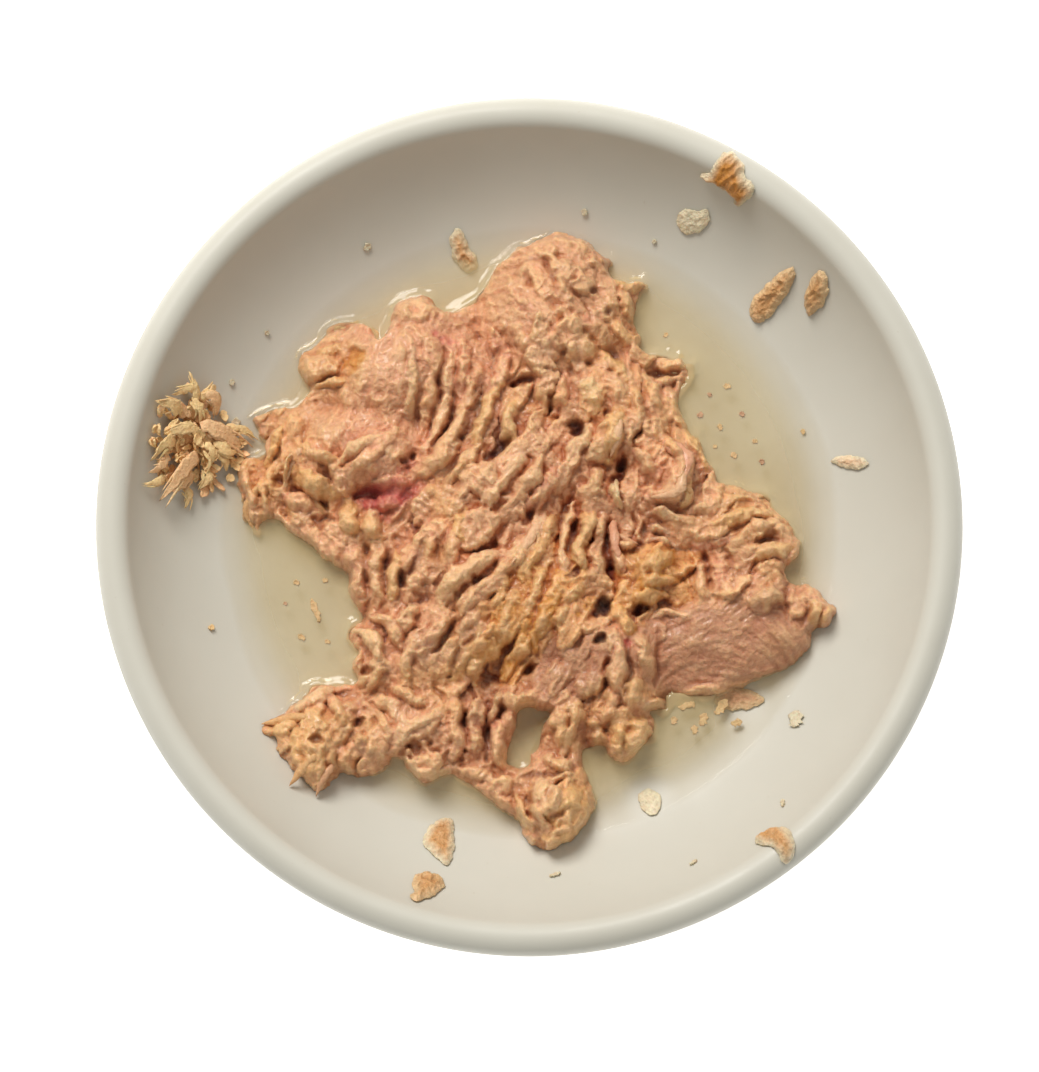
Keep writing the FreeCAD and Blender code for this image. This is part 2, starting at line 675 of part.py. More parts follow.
def make_broth(outlines):
    """The pool of broth, cut round what stands in it down to the film underneath."""
    well, film, deep = size("well_radius"), size("broth_film"), size("broth_depth")
    face_rule = "Dims.foot_height + Dims.base_thickness"
    wall_rule = (
        "((Dims.rim_radius - Dims.lip_radius - Dims.well_radius)^2"
        " + (Dims.dish_depth - Dims.lip_radius)^2 - Dims.lip_radius^2) / (2 * Dims.dish_depth)"
    )
    edge_rule = (
        f"Dims.well_radius + sqrt(2 * ({wall_rule}) * Dims.broth_depth - Dims.broth_depth^2)"
        " - Dims.broth_gap"
    )

    pool = new_body("broth_pool")
    corners = [(0, WELL_FACE), (well, WELL_FACE), (POOL_EDGE, BROTH_LEVEL), (0, BROTH_LEVEL)]
    sketch, (bottom, side, _, _) = closed_profile(pool, "broth_profile", corners)
    measure(sketch, "well", "DistanceX", (*ORIGIN, bottom, END), well, "Dims.well_radius")
    measure(sketch, "face", "DistanceY", (*ORIGIN, bottom, END), WELL_FACE, face_rule)
    measure(sketch, "deep", "DistanceY", (bottom, END, side, END), deep, "Dims.broth_depth")
    measure(sketch, "edge", "DistanceX", (*ORIGIN, side, END), POOL_EDGE, edge_rule)
    doc.recompute()
    revolve(pool, sketch, "broth_turned")

    under = new_body("broth_under_food")
    ease = size("film_ease")
    corners = [
        (0, WELL_FACE),
        (POOL_EDGE + ease, WELL_FACE),
        (POOL_EDGE + ease, BROTH_LEVEL + film),
        (well + ease, WELL_FACE + film),
        (0, WELL_FACE + film),
    ]
    sketch, (bottom, outside, _, top, _) = closed_profile(under, "film_profile", corners)
    measure(
        sketch, "edge", "DistanceX", (*ORIGIN, bottom, END),
        POOL_EDGE + ease, f"{edge_rule} + Dims.film_ease",
    )
    measure(sketch, "face", "DistanceY", (*ORIGIN, bottom, END), WELL_FACE, face_rule)
    measure(
        sketch, "climb", "DistanceY", (outside, START, outside, END),
        deep + film, "Dims.broth_depth + Dims.broth_film",
    )
    measure(
        sketch, "well", "DistanceX", (*ORIGIN, top, START),
        well + ease, "Dims.well_radius + Dims.film_ease",
    )
    measure(sketch, "film", "DistanceY", (bottom, START, top, END), film, "Dims.broth_film")
    doc.recompute()
    revolve(under, sketch, "film_turned")

    food, gaps = [], []
    for loop in outlines:
        corners = [Vector(corner.x, corner.y, WELL_FACE + film / 2) for corner in loop]
        face = Part.Face(Part.makePolygon(corners + corners[:1]))
        column = face.extrude(Vector(0, 0, 2 * deep))
        (food if area_within(loop) > 0 else gaps).append(column)
    standing = doc.addObject("Part::Feature", "standing_food")
    standing.Shape = Part.Compound(food).cut(gaps) if gaps else Part.Compound(food)
    over_film = doc.addObject("Part::Cut", "food_over_film")
    over_film.Base, over_film.Tool = standing, under
    broth = doc.addObject("Part::Cut", "broth")
    broth.Label = "broth"
    broth.Base, broth.Tool = pool, over_film
    doc.recompute()


# ------------------------------------------------------------------ the whole dish of food

make_dish()
in_broth = []
near_heap = []
for flake, (bearing, share, upright, lobes) in LOOSE_FLAKES.items():
    loops = lay_flake(flake, bearing, share, upright, lobes, FLAKE_PITCH)
    near_heap.append((bearing, share, lobes))
    if upright:
        # A flake's own plan is turned over seen from above, which turns its loops round too.
        in_broth += [loop[::-1] for loop in loops]
lay_flake("flake_tuft", TUFT_BEARING, TUFT_CLIMB, False, tuft_lobes(), TUFT_PITCH)
near_heap.append((TUFT_BEARING, TUFT_CLIMB, tuft_lobes()))
in_broth += make_heap(near_heap)
make_broth(in_broth)
doc.recompute()

# ------------------------------------------------------------------ checks and files

NODES = ["dish", "broth", "food_heap", "flake_tuft", *LOOSE_FLAKES]

for item in doc.Objects:
    if "Invalid" in item.State or "Error" in item.State:
        raise SystemExit(f"{item.Label} failed: {item.State}")

os.makedirs("parts", exist_ok=True)
for node in NODES:
    piece = doc.getObjectsByLabel(node)[0]
    if piece.Shape.isNull() or not piece.Shape.isValid():
        raise SystemExit(f"{node} has no valid shape")
    piece.Shape.exportStep(f"parts/{node}.step")
    box = piece.Shape.BoundBox
    print(
        f"{node:16s} solids {len(piece.Shape.Solids)} faces {len(piece.Shape.Faces):5d}"
        f" volume {piece.Shape.Volume / 1000:7.2f} cm3 top {box.ZMax:5.2f}"
    )
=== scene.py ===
"""A shallow glazed dish of flaked wet food that lies in a thin pool of broth.

Lengths in this script are millimetres in the dish's own frame, and become metres where a mesh
is made. Heights count from the face that the foot ring stands on.
"""
import math

import bpy
import numpy as np
from mathutils import Matrix, Vector
from mathutils.bvhtree import BVHTree
from mathutils.geometry import delaunay_2d_cdt


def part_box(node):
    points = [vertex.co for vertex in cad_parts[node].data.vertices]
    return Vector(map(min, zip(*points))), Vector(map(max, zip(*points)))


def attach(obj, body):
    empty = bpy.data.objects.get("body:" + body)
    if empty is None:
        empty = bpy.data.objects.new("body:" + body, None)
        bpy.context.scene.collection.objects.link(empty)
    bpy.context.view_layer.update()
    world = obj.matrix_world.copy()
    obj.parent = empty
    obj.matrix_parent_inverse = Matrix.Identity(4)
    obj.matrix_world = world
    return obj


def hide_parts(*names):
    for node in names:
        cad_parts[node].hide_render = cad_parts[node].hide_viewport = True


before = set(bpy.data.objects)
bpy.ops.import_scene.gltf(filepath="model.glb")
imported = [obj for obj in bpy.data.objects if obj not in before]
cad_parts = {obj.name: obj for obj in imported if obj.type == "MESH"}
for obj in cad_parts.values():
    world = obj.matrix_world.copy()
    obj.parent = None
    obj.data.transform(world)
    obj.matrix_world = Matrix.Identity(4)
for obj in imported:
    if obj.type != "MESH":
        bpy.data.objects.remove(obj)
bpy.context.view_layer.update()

MM = 0.001

# ------------------------------------------------------------------ the dish's inner face

RIM_RADIUS, _, RIM_TOP = np.array(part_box("dish")[1]) / MM
WELL_FACE, BROTH_LEVEL = (corner[2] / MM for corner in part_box("broth"))
WELL_RADIUS = 42.0
LIP = 3.0  # the radius that the lip is rolled to
LIP_OUT = RIM_RADIUS - LIP
LIP_HEIGHT = RIM_TOP - LIP
WALL_SPAN = LIP_OUT - WELL_RADIUS
WALL_RISE = LIP_HEIGHT - WELL_FACE
WALL_RADIUS = (WALL_SPAN**2 + WALL_RISE**2 - LIP**2) / (2 * (WALL_RISE + LIP))
WALL_SWEEP = math.asin(WALL_SPAN / (WALL_RADIUS + LIP))
WALL_END = WELL_RADIUS + WALL_RADIUS * math.sin(WALL_SWEEP)


def dish_height(radius):
    """The height of the dish's inner face at a distance from its axis."""
    radius = np.asarray(radius, dtype=float)
    on_wall = np.clip(radius - WELL_RADIUS, 0, WALL_END - WELL_RADIUS)
    wall = WELL_FACE + WALL_RADIUS - np.sqrt(WALL_RADIUS**2 - on_wall**2)
    on_lip = np.clip(radius - LIP_OUT, -LIP, LIP)
    lip = LIP_HEIGHT + np.sqrt(np.maximum(LIP**2 - on_lip**2, 0))
    return np.where(radius > WALL_END, lip, wall)


# ------------------------------------------------------------------ fields on a plan


def smooth(value, low, high):
    """From 0 at low to 1 at high, with level ends."""
    share = np.clip((value - low) / (high - low), 0, 1)
    return share * share * (3 - 2 * share)


def noise(x, y, cell, seed):
    """Smooth random values from -1 to 1 that change over about a cell."""
    table = np.random.default_rng(seed).uniform(-1, 1, (256, 256))
    u, v = x / cell, y / cell
    i, j = np.floor(u).astype(int), np.floor(v).astype(int)
    s, t = u - i, v - j
    s, t = s * s * (3 - 2 * s), t * t * (3 - 2 * t)
    i, j, k, l = i % 256, j % 256, (i + 1) % 256, (j + 1) % 256
    low = table[i, j] * (1 - s) + table[k, j] * s
    high = table[i, l] * (1 - s) + table[k, l] * s
    return low * (1 - t) + high * t


def rough(x, y, cell, seed, octaves=3):
    """Noise with finer noise on it, each octave half as wide and half as strong."""
    total = 0
    for n in range(octaves):
        turned_x = x * math.cos(n) - y * math.sin(n)
        turned_y = x * math.sin(n) + y * math.cos(n)
        total = total + noise(turned_x, turned_y, cell / 2**n, seed + n) / 2**n
    return total


def smooth_path(points, parts, closed=False):
    """Points on a smooth curve through some points, a few parts to each stretch."""
    points = np.array(points, dtype=float)
    if closed:
        padded = np.vstack([points[-1:], points, points[:2]])
    else:
        padded = np.vstack([2 * points[0] - points[1], points, 2 * points[-1] - points[-2]])
    out = []
    for a, b, c, d in zip(padded, padded[1:], padded[2:], padded[3:]):
        for t in np.arange(parts) / parts:
            out.append(
                0.5 * (2 * b + (c - a) * t + (2 * a - 5 * b + 4 * c - d) * t**2
                       + (3 * b - a - 3 * c + d) * t**3)
            )
    if not closed:
        out.append(points[-1])
    return np.array(out)


class Plan:
    """A square lattice of places seen from above, and the fields that are drawn on it."""

    def __init__(self, low, high, pitch):
        self.low, self.pitch = low, pitch
        self.columns = int((high[0] - low[0]) / pitch) + 1
        self.rows = int((high[1] - low[1]) / pitch) + 1
        self.x, self.y = np.meshgrid(
            low[0] + np.arange(self.columns) * pitch,
            low[1] + np.arange(self.rows) * pitch,
            indexing="ij",
        )

    def window(self, points, margin):
        """The part of the lattice round some points, as a pair of slices."""
        first = np.floor((points.min(0) - margin - self.low) / self.pitch).astype(int)
        last = np.ceil((points.max(0) + margin - self.low) / self.pitch).astype(int) + 1
        first = np.maximum(first, 0)
        last = np.maximum(last, first + 1)
        return slice(first[0], last[0]), slice(first[1], last[1])

    def blur(self, field, width):
        """The field smoothed over about a width."""
        u = np.fft.fftfreq(self.columns, self.pitch)[:, None]
        v = np.fft.rfftfreq(self.rows, self.pitch)[None, :]
        keep = np.exp(-2 * (math.pi * width) ** 2 * (u * u + v * v))
        return np.fft.irfft2(np.fft.rfft2(field) * keep, s=field.shape)

    def sample(self, field, x, y):
        """The field's values at any places, from the four lattice places round each."""
        u = np.clip((x - self.low[0]) / self.pitch, 0, self.columns - 1.001)
        v = np.clip((y - self.low[1]) / self.pitch, 0, self.rows - 1.001)
        i, j = u.astype(int), v.astype(int)
        s, t = u - i, v - j
        low = field[i, j] * (1 - s) + field[i + 1, j] * s
        high = field[i, j + 1] * (1 - s) + field[i + 1, j + 1] * s
        return low * (1 - t) + high * t

    def at(self, field, x, y):
        """The field's value at one place."""
        return self.sample(field, np.array([x]), np.array([y]))[0]

    def inside(self, outline, reach):
        """How far each place lies inside a closed outline, up to a reach, and less outside."""
        ends = np.roll(outline, -1, axis=0)
        distance = np.full(self.x.shape, float(reach))
        for start, end in zip(outline, ends):
            part = self.window(np.array([start, end]), reach)
            x, y = self.x[part], self.y[part]
            run = end - start
            share = ((x - start[0]) * run[0] + (y - start[1]) * run[1]) / max(run @ run, 1e-9)
            share = np.clip(share, 0, 1)
            gap = np.hypot(x - start[0] - share * run[0], y - start[1] - share * run[1])
            distance[part] = np.minimum(distance[part], gap)
        return np.where(enclosed(self.x, self.y[0], outline, ends), distance, -distance)


def enclosed(x, y, starts, ends):
    """Which places lie within closed lines, given as the starts and the ends of their parts."""
    inside = np.zeros(x.shape, dtype=bool)
    for (from_x, from_y), (to_x, to_y) in zip(starts, ends):
        if from_y != to_y:
            level = (y >= min(from_y, to_y)) & (y < max(from_y, to_y))
            meets = from_x + (y - from_y) * (to_x - from_x) / (to_y - from_y)
            inside ^= level & (x < meets)
    return inside


# ------------------------------------------------------------------ meshes


def make_piece(name, points, faces, colours=None, shade=None):
    """A mesh object from points in millimetres, with a colour and a shade at each point."""
    mesh = bpy.data.meshes.new(name)
    mesh.from_pydata((np.asarray(points) * MM).tolist(), [], np.asarray(faces).tolist())
    mesh.polygons.foreach_set("use_smooth", [True] * len(mesh.polygons))
    if colours is not None:
        tones = np.ones((len(points), 4), dtype=np.float32)
        tones[:, :3] = colours
        layer = mesh.attributes.new("tone", "FLOAT_COLOR", "POINT")
        layer.data.foreach_set("color", tones.ravel())
    if shade is not None:
        values = np.asarray(shade, dtype=np.float32)
        mesh.attributes.new("depth", "FLOAT", "POINT").data.foreach_set("value", values)
    mesh.validate()
    mesh.update()
    return show(name, mesh)


def show(name, data):
    """An object of a mesh, a light or a camera, put in the scene."""
    item = bpy.data.objects.new(name, data)
    bpy.context.collection.objects.link(item)
    return item


def finish_piece(piece, material, slot, *nodes):
    """Gives a piece its finish, and lets it ride with the dish in place of some nodes."""
    piece.data.materials.clear()
    piece.data.materials.append(material)
    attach(piece, "root")
    if nodes:
        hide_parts(*nodes)
    return piece


def ring_faces(rings, around):
    """The faces of a closed skin over rings of points between a first and a last point."""
    faces = []
    for k in range(around):
        m = (k + 1) % around
        faces.append((0, 1 + m, 1 + k))
        for n in range(rings - 1):
            a, b = 1 + n * around + k, 1 + n * around + m
            faces += [(a, b, b + around), (a, b + around, a + around)]
        last = 1 + (rings - 1) * around
        faces.append((last + k, last + m, 1 + rings * around))
    return np.array(faces)


SHEET_EDGE = 0.06  # how thick a sheet is at its edge
SHEET_REACH = 0.45  # how far past its edge it takes in a place, as a share of the pitch


def sheet_cells(near):
    """The lattice cells whose four corners all lie near a sheet, without those that would
    pinch its edge, which touch the rest at a corner only."""
    cell = near[:-1, :-1] & near[1:, :-1] & near[:-1, 1:] & near[1:, 1:]
    beside = np.zeros(cell.shape, dtype=int)
    beside[1:] += cell[:-1]
    beside[:-1] += cell[1:]
    beside[:, 1:] += cell[:, :-1]
    beside[:, :-1] += cell[:, 1:]
    cell &= beside >= 2
    for _ in range(3):
        a, b = cell[:-1, :-1], cell[1:, 1:]
        c, d = cell[1:, :-1], cell[:-1, 1:]
        pinch = (a & b & ~c & ~d) | (c & d & ~a & ~b)
        if not pinch.any():
            break
        for part in (a, b, c, d):
            part &= ~pinch
    return cell


def cell_faces(cell, used, height):
    """Two triangles for each cell, split along the diagonal that is nearer to level."""
    number = np.full(used.shape, -1)
    number[used] = np.arange(used.sum())
    i, j = np.nonzero(cell)
    a, b = number[i, j], number[i + 1, j]
    c, d = number[i + 1, j + 1], number[i, j + 1]
    short = (np.abs(height[a] - height[c]) < np.abs(height[b] - height[d]))[:, None]
    first = np.where(short, np.stack([a, b, c], 1), np.stack([a, b, d], 1))
    second = np.where(short, np.stack([a, c, d], 1), np.stack([b, c, d], 1))
    return np.vstack([first, second])


def closed_sheet(plan, inside, top, bottom, coarse):
    """Points and triangles of a closed lump on a plan: its top on every place of the lattice
    that lies inside, and its underside on a coarser lattice.

    Its edge lies where inside is 0, at the height of the underside. Returns the points, the
    triangles, and the plan places of the points.
    """
    cell = sheet_cells(inside > -SHEET_REACH * plan.pitch)
    used = np.zeros(plan.x.shape, dtype=bool)
    for i in (0, 1):
        for j in (0, 1):
            used[i : i + cell.shape[0], j : j + cell.shape[1]] |= cell
    height = top[used]
    faces = cell_faces(cell, used, height)

    edges = np.vstack([faces[:, [0, 1]], faces[:, [1, 2]], faces[:, [2, 0]]])
    keys = edges[:, 0].astype(np.int64) * len(height) + edges[:, 1]
    back = edges[:, 1].astype(np.int64) * len(height) + edges[:, 0]
    border = edges[~np.isin(keys, back)]
    on_border = np.unique(border)

    places = np.stack([plan.x[used], plan.y[used]], 1)
    slope = np.stack(np.gradient(inside, plan.pitch), -1)[used][on_border]
    slope /= np.maximum(np.linalg.norm(slope, axis=1, keepdims=True), 0.3)
    shift = np.clip(inside[used][on_border], -plan.pitch, plan.pitch)
    places[on_border] -= slope * shift[:, None] * 0.8
    rim = plan.sample(bottom, *places[on_border].T)
    height[on_border] = rim + SHEET_EDGE

    low, high = places.min(0), places.max(0)
    x, y = np.meshgrid(np.arange(low[0], high[0], coarse), np.arange(low[1], high[1], coarse))
    inner = np.stack([x.ravel(), y.ravel()], 1)
    inner = inner[plan.sample(inside, *inner.T) > 0.7 * coarse]
    order = {n: k for k, n in enumerate(on_border)}
    ring = [(order[m], order[n]) for m, n in border]
    points = [Vector(p) for p in np.vstack([places[on_border], inner])]
    out, _, under, origin, _, _ = delaunay_2d_cdt(points, ring, [], 0, 1e-5)
    out, under = np.array([tuple(p) for p in out]), np.array(under)
    # The underside has a border of its own just below the top's, with a strip between them.
    whole = np.full(len(out), -1)
    fresh = []
    for n, sources in enumerate(origin):
        if sources and sources[0] < len(on_border):
            whole[n] = len(places) + sources[0]
        else:
            whole[n] = len(places) + len(on_border) + len(fresh)
            fresh.append(out[n])
    middles = out[under].mean(1)
    kept = enclosed(middles[:, 0], middles[:, 1], places[border[:, 0]], places[border[:, 1]])
    under = whole[under[kept]][:, ::-1]
    low_ring = np.array(ring) + len(places)
    strip = np.vstack([
        np.column_stack([border[:, 1], border[:, 0], low_ring[:, 0]]),
        np.column_stack([border[:, 1], low_ring[:, 0], low_ring[:, 1]]),
    ])
    fresh = np.array(fresh).reshape(-1, 2)
    places = np.vstack([places, places[on_border], fresh])
    height = np.concatenate([height, rim, plan.sample(bottom, *fresh.T)])
    return np.column_stack([places, height]), np.vstack([faces, strip, under]), places


# ------------------------------------------------------------------ finishes


def linear(red, green, blue):
    """A colour of 0 to 255 as a tuple of linear values."""
    return tuple(
        c / 255 / 12.92 if c / 255 <= 0.04045 else ((c / 255 + 0.055) / 1.055) ** 2.4
        for c in (red, green, blue)
    )


def add_node(tree, kind, settings, sockets):
    """A node of a kind in a tree, with its settings, and with the values of its sockets or the
    sockets of other nodes that feed them."""
    node = tree.nodes.new(kind)
    for name, value in settings.items():
        setattr(node, name, value)
    for name, value in sockets.items():
        if isinstance(value, bpy.types.NodeSocket):
            tree.links.new(value, node.inputs[name])
        else:
            node.inputs[name].default_value = value
    return node


class Value:
    """A socket of a node tree that Python's operators can be used on."""

    def __init__(self, finish, socket):
        self.finish, self.socket = finish, socket

    def _math(self, operation, *values):
        return self.finish.add("ShaderNodeMath", {"operation": operation}, dict(enumerate(values)))

    def __add__(self, other):
        return self._math("ADD", self, other)

    def __mul__(self, other):
        return self._math("MULTIPLY", self, other)

    __radd__, __rmul__ = __add__, __mul__

    def within(self, low, high):
        """From 0 at low to 1 at high."""
        return self.finish.add(
            "ShaderNodeMapRange",
            {"clamp": True, "interpolation_type": "SMOOTHSTEP"},
            {"Value": self, "From Min": low, "From Max": high},
        )


class Finish:
    """A material, and the nodes that are added to it."""

    def __init__(self, name, **constants):
        self.material = bpy.data.materials.new(name)
        self.material.use_nodes = True
        self.tree = self.material.node_tree
        self.shader = self.tree.nodes["Principled BSDF"]
        for socket, value in constants.items():
            self.shader.inputs[socket.replace("_", " ")].default_value = value
        self.place = self.add("ShaderNodeTexCoord", {}, {}, "Object")

    def add(self, kind, settings, sockets, output=None):
        """A node of a kind, its settings, the values or links of its sockets, and its output."""
        plain = {
            name: value.socket if isinstance(value, Value) else value
            for name, value in sockets.items()
        }
        node = add_node(self.tree, kind, settings, plain)
        if output is None:
            output = next(n for n, socket in enumerate(node.outputs) if socket.enabled)
        return Value(self, node.outputs[output])

    def feed(self, socket, value):
        """Leads a value into a socket of the shader."""
        self.tree.links.new(value.socket, self.shader.inputs[socket])

    def noise(self, scale, detail=4.0, rough=0.55):
        """Noise from 0 to 1 with so many cells in a metre."""
        sockets = {"Vector": self.place, "Scale": scale, "Detail": detail, "Roughness": rough}
        return self.add("ShaderNodeTexNoise", {"noise_dimensions": "3D"}, sockets, "Fac")

    def mix(self, share, first, second, blend="MIX"):
        """Two colours mixed by a share."""
        first, second = (
            value if isinstance(value, Value) else (*value, 1.0) for value in (first, second)
        )
        settings = {"data_type": "RGBA", "blend_type": blend}
        return self.add("ShaderNodeMix", settings, {0: share, 6: first, 7: second}, 2)

    def tone(self):
        """The colour that a piece's own points carry."""
        return self.add("ShaderNodeAttribute", {"attribute_name": "tone"}, {}, "Color")

    def depth(self):
        """The number that a piece's own points carry."""
        return self.add("ShaderNodeAttribute", {"attribute_name": "depth"}, {}, "Fac")

    def bump(self, height, distance):
        """Fine relief as high as the distance, in metres."""
        sockets = {"Strength": 1.0, "Distance": distance, "Height": height}
        self.feed("Normal", self.add("ShaderNodeBump", {}, sockets, "Normal"))


def glazed_stoneware():
    """A cream glaze, with faint clouds of tone and a few small darker specks."""
    finish = Finish(
        "glazed_stoneware",
        Coat_Weight=0.06,
        Coat_Roughness=0.1,
        Coat_IOR=1.4,
        Specular_IOR_Level=0.3,
    )
    cloud = finish.noise(38.0, 3.0).within(0.35, 0.65)
    speck = finish.noise(900.0, 2.0).within(0.72, 0.8)
    colour = finish.mix(cloud * 0.5, linear(207, 203, 191), linear(202, 197, 184))
    colour = finish.mix(speck * 0.25, colour, linear(184, 172, 150))
    finish.feed("Base Color", colour)
    wear = finish.noise(160.0, 5.0, 0.6).within(0.3, 0.75)
    finish.feed("Roughness", 0.42 + 0.1 * wear)
    finish.bump(finish.noise(120.0, 2.0), 0.00006)
    return finish.material


def wet_meat(name, gloss, fine, glow):
    """Cooked meat: a soft fibrous flesh that glows a little, under a thin wet film.

    The gloss is how much film it has, fine how many grains there are to a metre, and glow how
    much of the light goes through the flesh.
    """
    finish = Finish(
        name,
        Subsurface_Weight=glow,
        Subsurface_Radius=(1.0, 0.40, 0.20),
        Subsurface_Scale=0.0008,
        Coat_Roughness=0.16,
        Coat_IOR=1.38,
        Specular_IOR_Level=0.45,
    )
    grain = finish.noise(fine, 5.0, 0.6)
    patch = finish.noise(fine * 0.22, 4.0, 0.6)
    colour = finish.mix(patch.within(0.45, 0.75) * 0.3, finish.tone(), linear(240, 196, 150))
    dark = finish.mix(1.0, colour, (0.80, 0.70, 0.64), "MULTIPLY")
    colour = finish.mix(grain.within(0.60, 0.36) * 0.6, colour, dark)
    finish.feed("Base Color", colour)
    finish.feed("Roughness", 0.42 + 0.22 * grain)
    finish.feed("Coat Weight", gloss * patch.within(0.3, 0.62))
    finish.bump(grain + 0.6 * patch, 0.00042)
    return finish.material


def clear_broth():
    """Thin broth with a little fat in it, deeper in colour where it is deeper."""
    finish = Finish("clear_broth", Roughness=0.03, IOR=1.34, Specular_IOR_Level=1.0)
    cloud = finish.noise(70.0, 4.0)
    colour = finish.mix(cloud.within(0.3, 0.7), linear(218, 198, 150), linear(206, 184, 134))
    finish.feed("Base Color", colour)
    # The alpha follows the broth's depth, and also a painted highlight: the film is opaque where
    # it faces the window.
    finish.feed("Alpha", finish.depth() * (0.85 + 0.3 * cloud))
    return finish.material


def studio_floor():
    """A plain floor, close to white, that glows so that shadows on it stay faint."""
    finish = Finish("studio_floor", Roughness=0.9)
    shade = finish.noise(3.0, 2.0)
    finish.feed("Base Color", finish.mix(shade, (0.93, 0.93, 0.93), (0.95, 0.95, 0.95)))
    finish.shader.inputs["Emission Color"].default_value = (1, 1, 1, 1)
    finish.shader.inputs["Emission Strength"].default_value = 0.75
    return finish.material


# ------------------------------------------------------------------ the dish


def arc(middle, radius, start, end, parts):
    """Points on an arc, from one bearing to another in radians."""
    turn = np.linspace(start, end, parts + 1)
    return [(middle[0] + radius * math.cos(t), middle[1] + radius * math.sin(t)) for t in turn]


def dish_profile():
    """The outline of half the dish in section, from under its middle round to its well."""
    base, foot_in, foot_out, foot_round = 2.5, 35.5, 40.0, 0.8
    lip = (LIP_OUT, LIP_HEIGHT)
    wall = (WELL_RADIUS, WELL_FACE + WALL_RADIUS)
    rise = LIP_HEIGHT - base
    back_radius = (WALL_SPAN**2 + rise**2 - LIP**2) / (2 * (rise - LIP))
    back = (WELL_RADIUS, base + back_radius)
    back_end = math.atan2(lip[1] - back[1], lip[0] - back[0])
    wall_end = math.atan2(lip[1] - wall[1], lip[0] - wall[0])
    inner, outer = foot_in + foot_round, foot_out - foot_round
    return (
        [(0, base), (foot_in * 0.5, base), (foot_in, base)]
        + arc((inner, foot_round), foot_round, math.pi, 1.5 * math.pi, 5)
        + arc((outer, foot_round), foot_round, -0.5 * math.pi, 0, 5)
        + [(foot_out, base)]
        + arc(back, back_radius, -0.5 * math.pi, back_end, 26)
        + arc(lip, LIP, back_end, math.pi + wall_end, 22)[1:]
        + arc(wall, WALL_RADIUS, wall_end, -0.5 * math.pi, 40)[1:]
        + [(WELL_RADIUS * share, WELL_FACE) for share in (0.75, 0.5, 0.25, 0)]
    )


def make_dish():
    """The dish turned from its section, with closed ends on its axis."""
    sides = 288
    profile = dish_profile()
    points = [(0, 0, profile[0][1])]
    for radius, height in profile[1:-1]:
        for n in range(sides):
            turn = 2 * math.pi * n / sides
            points.append((radius * math.cos(turn), radius * math.sin(turn), height))
    points.append((0, 0, profile[-1][1]))
    return make_piece("dish_turned", points, ring_faces(len(profile) - 2, sides))


# ------------------------------------------------------------------ the heap
#
# Places on the heap are drawn as they line up, seen at the camera's slant, with a level plane
# DRAWN_AT above the well. settle() brings a place down or up that slant onto the food.

CAMERA_SLANT = math.radians(81.8)
DRAWN_AT = 5.0
HEAP_OUTLINE = (
    (5.8, 55.5), (9, 54.8), (12.2, 53), (14.5, 50.6), (14.5, 48.2), (17.2, 46.4), (21.2, 46.6),
    (19.9, 43.5), (19.2, 39.8), (20.3, 36.4), (20.5, 33.7), (23.9, 32.8), (28, 32), (29.3, 31.3),
    (29, 28), (27, 24.7), (27.8, 21), (30.4, 17.3), (32.5, 12.8), (33.3, 9.2), (36.4, 8.2),
    (39.2, 8), (42.8, 6.4), (44.5, 3.7), (47, 1), (48.6, -1.7), (47.6, -4.2), (45.3, -6),
    (46.6, -9), (49.7, -9.5), (52.7, -11.7), (54, -14.4), (52.2, -16.7), (50, -17.4),
    (49.4, -21), (46.2, -23.7), (41.7, -26), (36, -27.8), (31.5, -29.5), (26.7, -29.5),
    (24.8, -32), (21.3, -32.3), (22.2, -33.8), (22.1, -36.5), (19.4, -38.7), (15.9, -41.2),
    (14, -39.7), (12.9, -38), (9.8, -38.8), (9.2, -41.4), (10.9, -45.8), (10.6, -49.7),
    (7.4, -54), (3.4, -55.8), (-0.2, -54), (-1.9, -51.4), (-4.5, -49.7), (-7.2, -47),
    (-10.7, -44.6), (-13.3, -42.9), (-15.5, -43.3), (-19, -44.4), (-21.5, -42), (-23.7, -39.8),
    (-26.3, -42.2), (-29.8, -43.6), (-33.3, -43.1), (-36.7, -46.2), (-39.2, -43.7),
    (-43, -39.8), (-43.9, -37.2), (-46.3, -35.9), (-45.8, -34.1), (-42.8, -32.4),
    (-40.3, -29.8), (-37.8, -27.1), (-34.3, -27.3), (-30.7, -27.3), (-31, -23.5),
    (-30.4, -21.4), (-31.8, -20), (-31.9, -17.8), (-29.8, -15.2), (-31.6, -12.9),
    (-32.4, -9.3), (-33.1, -6.6), (-37.1, -4.4), (-40.8, -1.2), (-44.3, 1.5), (-47.4, 2.4),
    (-48.9, -0.3), (-50.1, 2.9), (-51, 2.5), (-51.7, 7.2), (-52.3, 12.7), (-48.5, 13.6),
    (-47, 16.4), (-49.6, 20.1), (-47.8, 21.9), (-43.2, 22.9), (-39.5, 25.6), (-41.7, 29.3),
    (-41.8, 32), (-38.6, 34.3), (-35.4, 38.6), (-31.3, 39.1), (-29.5, 37.2), (-27.6, 34.9),
    (-25.4, 38.7), (-23.6, 42.5), (-21.3, 43.9), (-18, 43.4), (-15.8, 40.6), (-14, 40.6),
    (-11.2, 42), (-9, 44.4), (-7.6, 47.2), (-5.3, 49.6), (-2.6, 52.4), (0, 53.3), (3, 55),
)
HEAP_GAP = ((0.0, -31.4), (3.1, -31.9), (3.3, -33.5), (1.9, -35.9), (0.5, -38.8), (0.0, -41.2),
            (-2.2, -41.7), (-4.2, -40.7), (-3.6, -38.3), (-2.6, -35.0), (-1.9, -32.6))

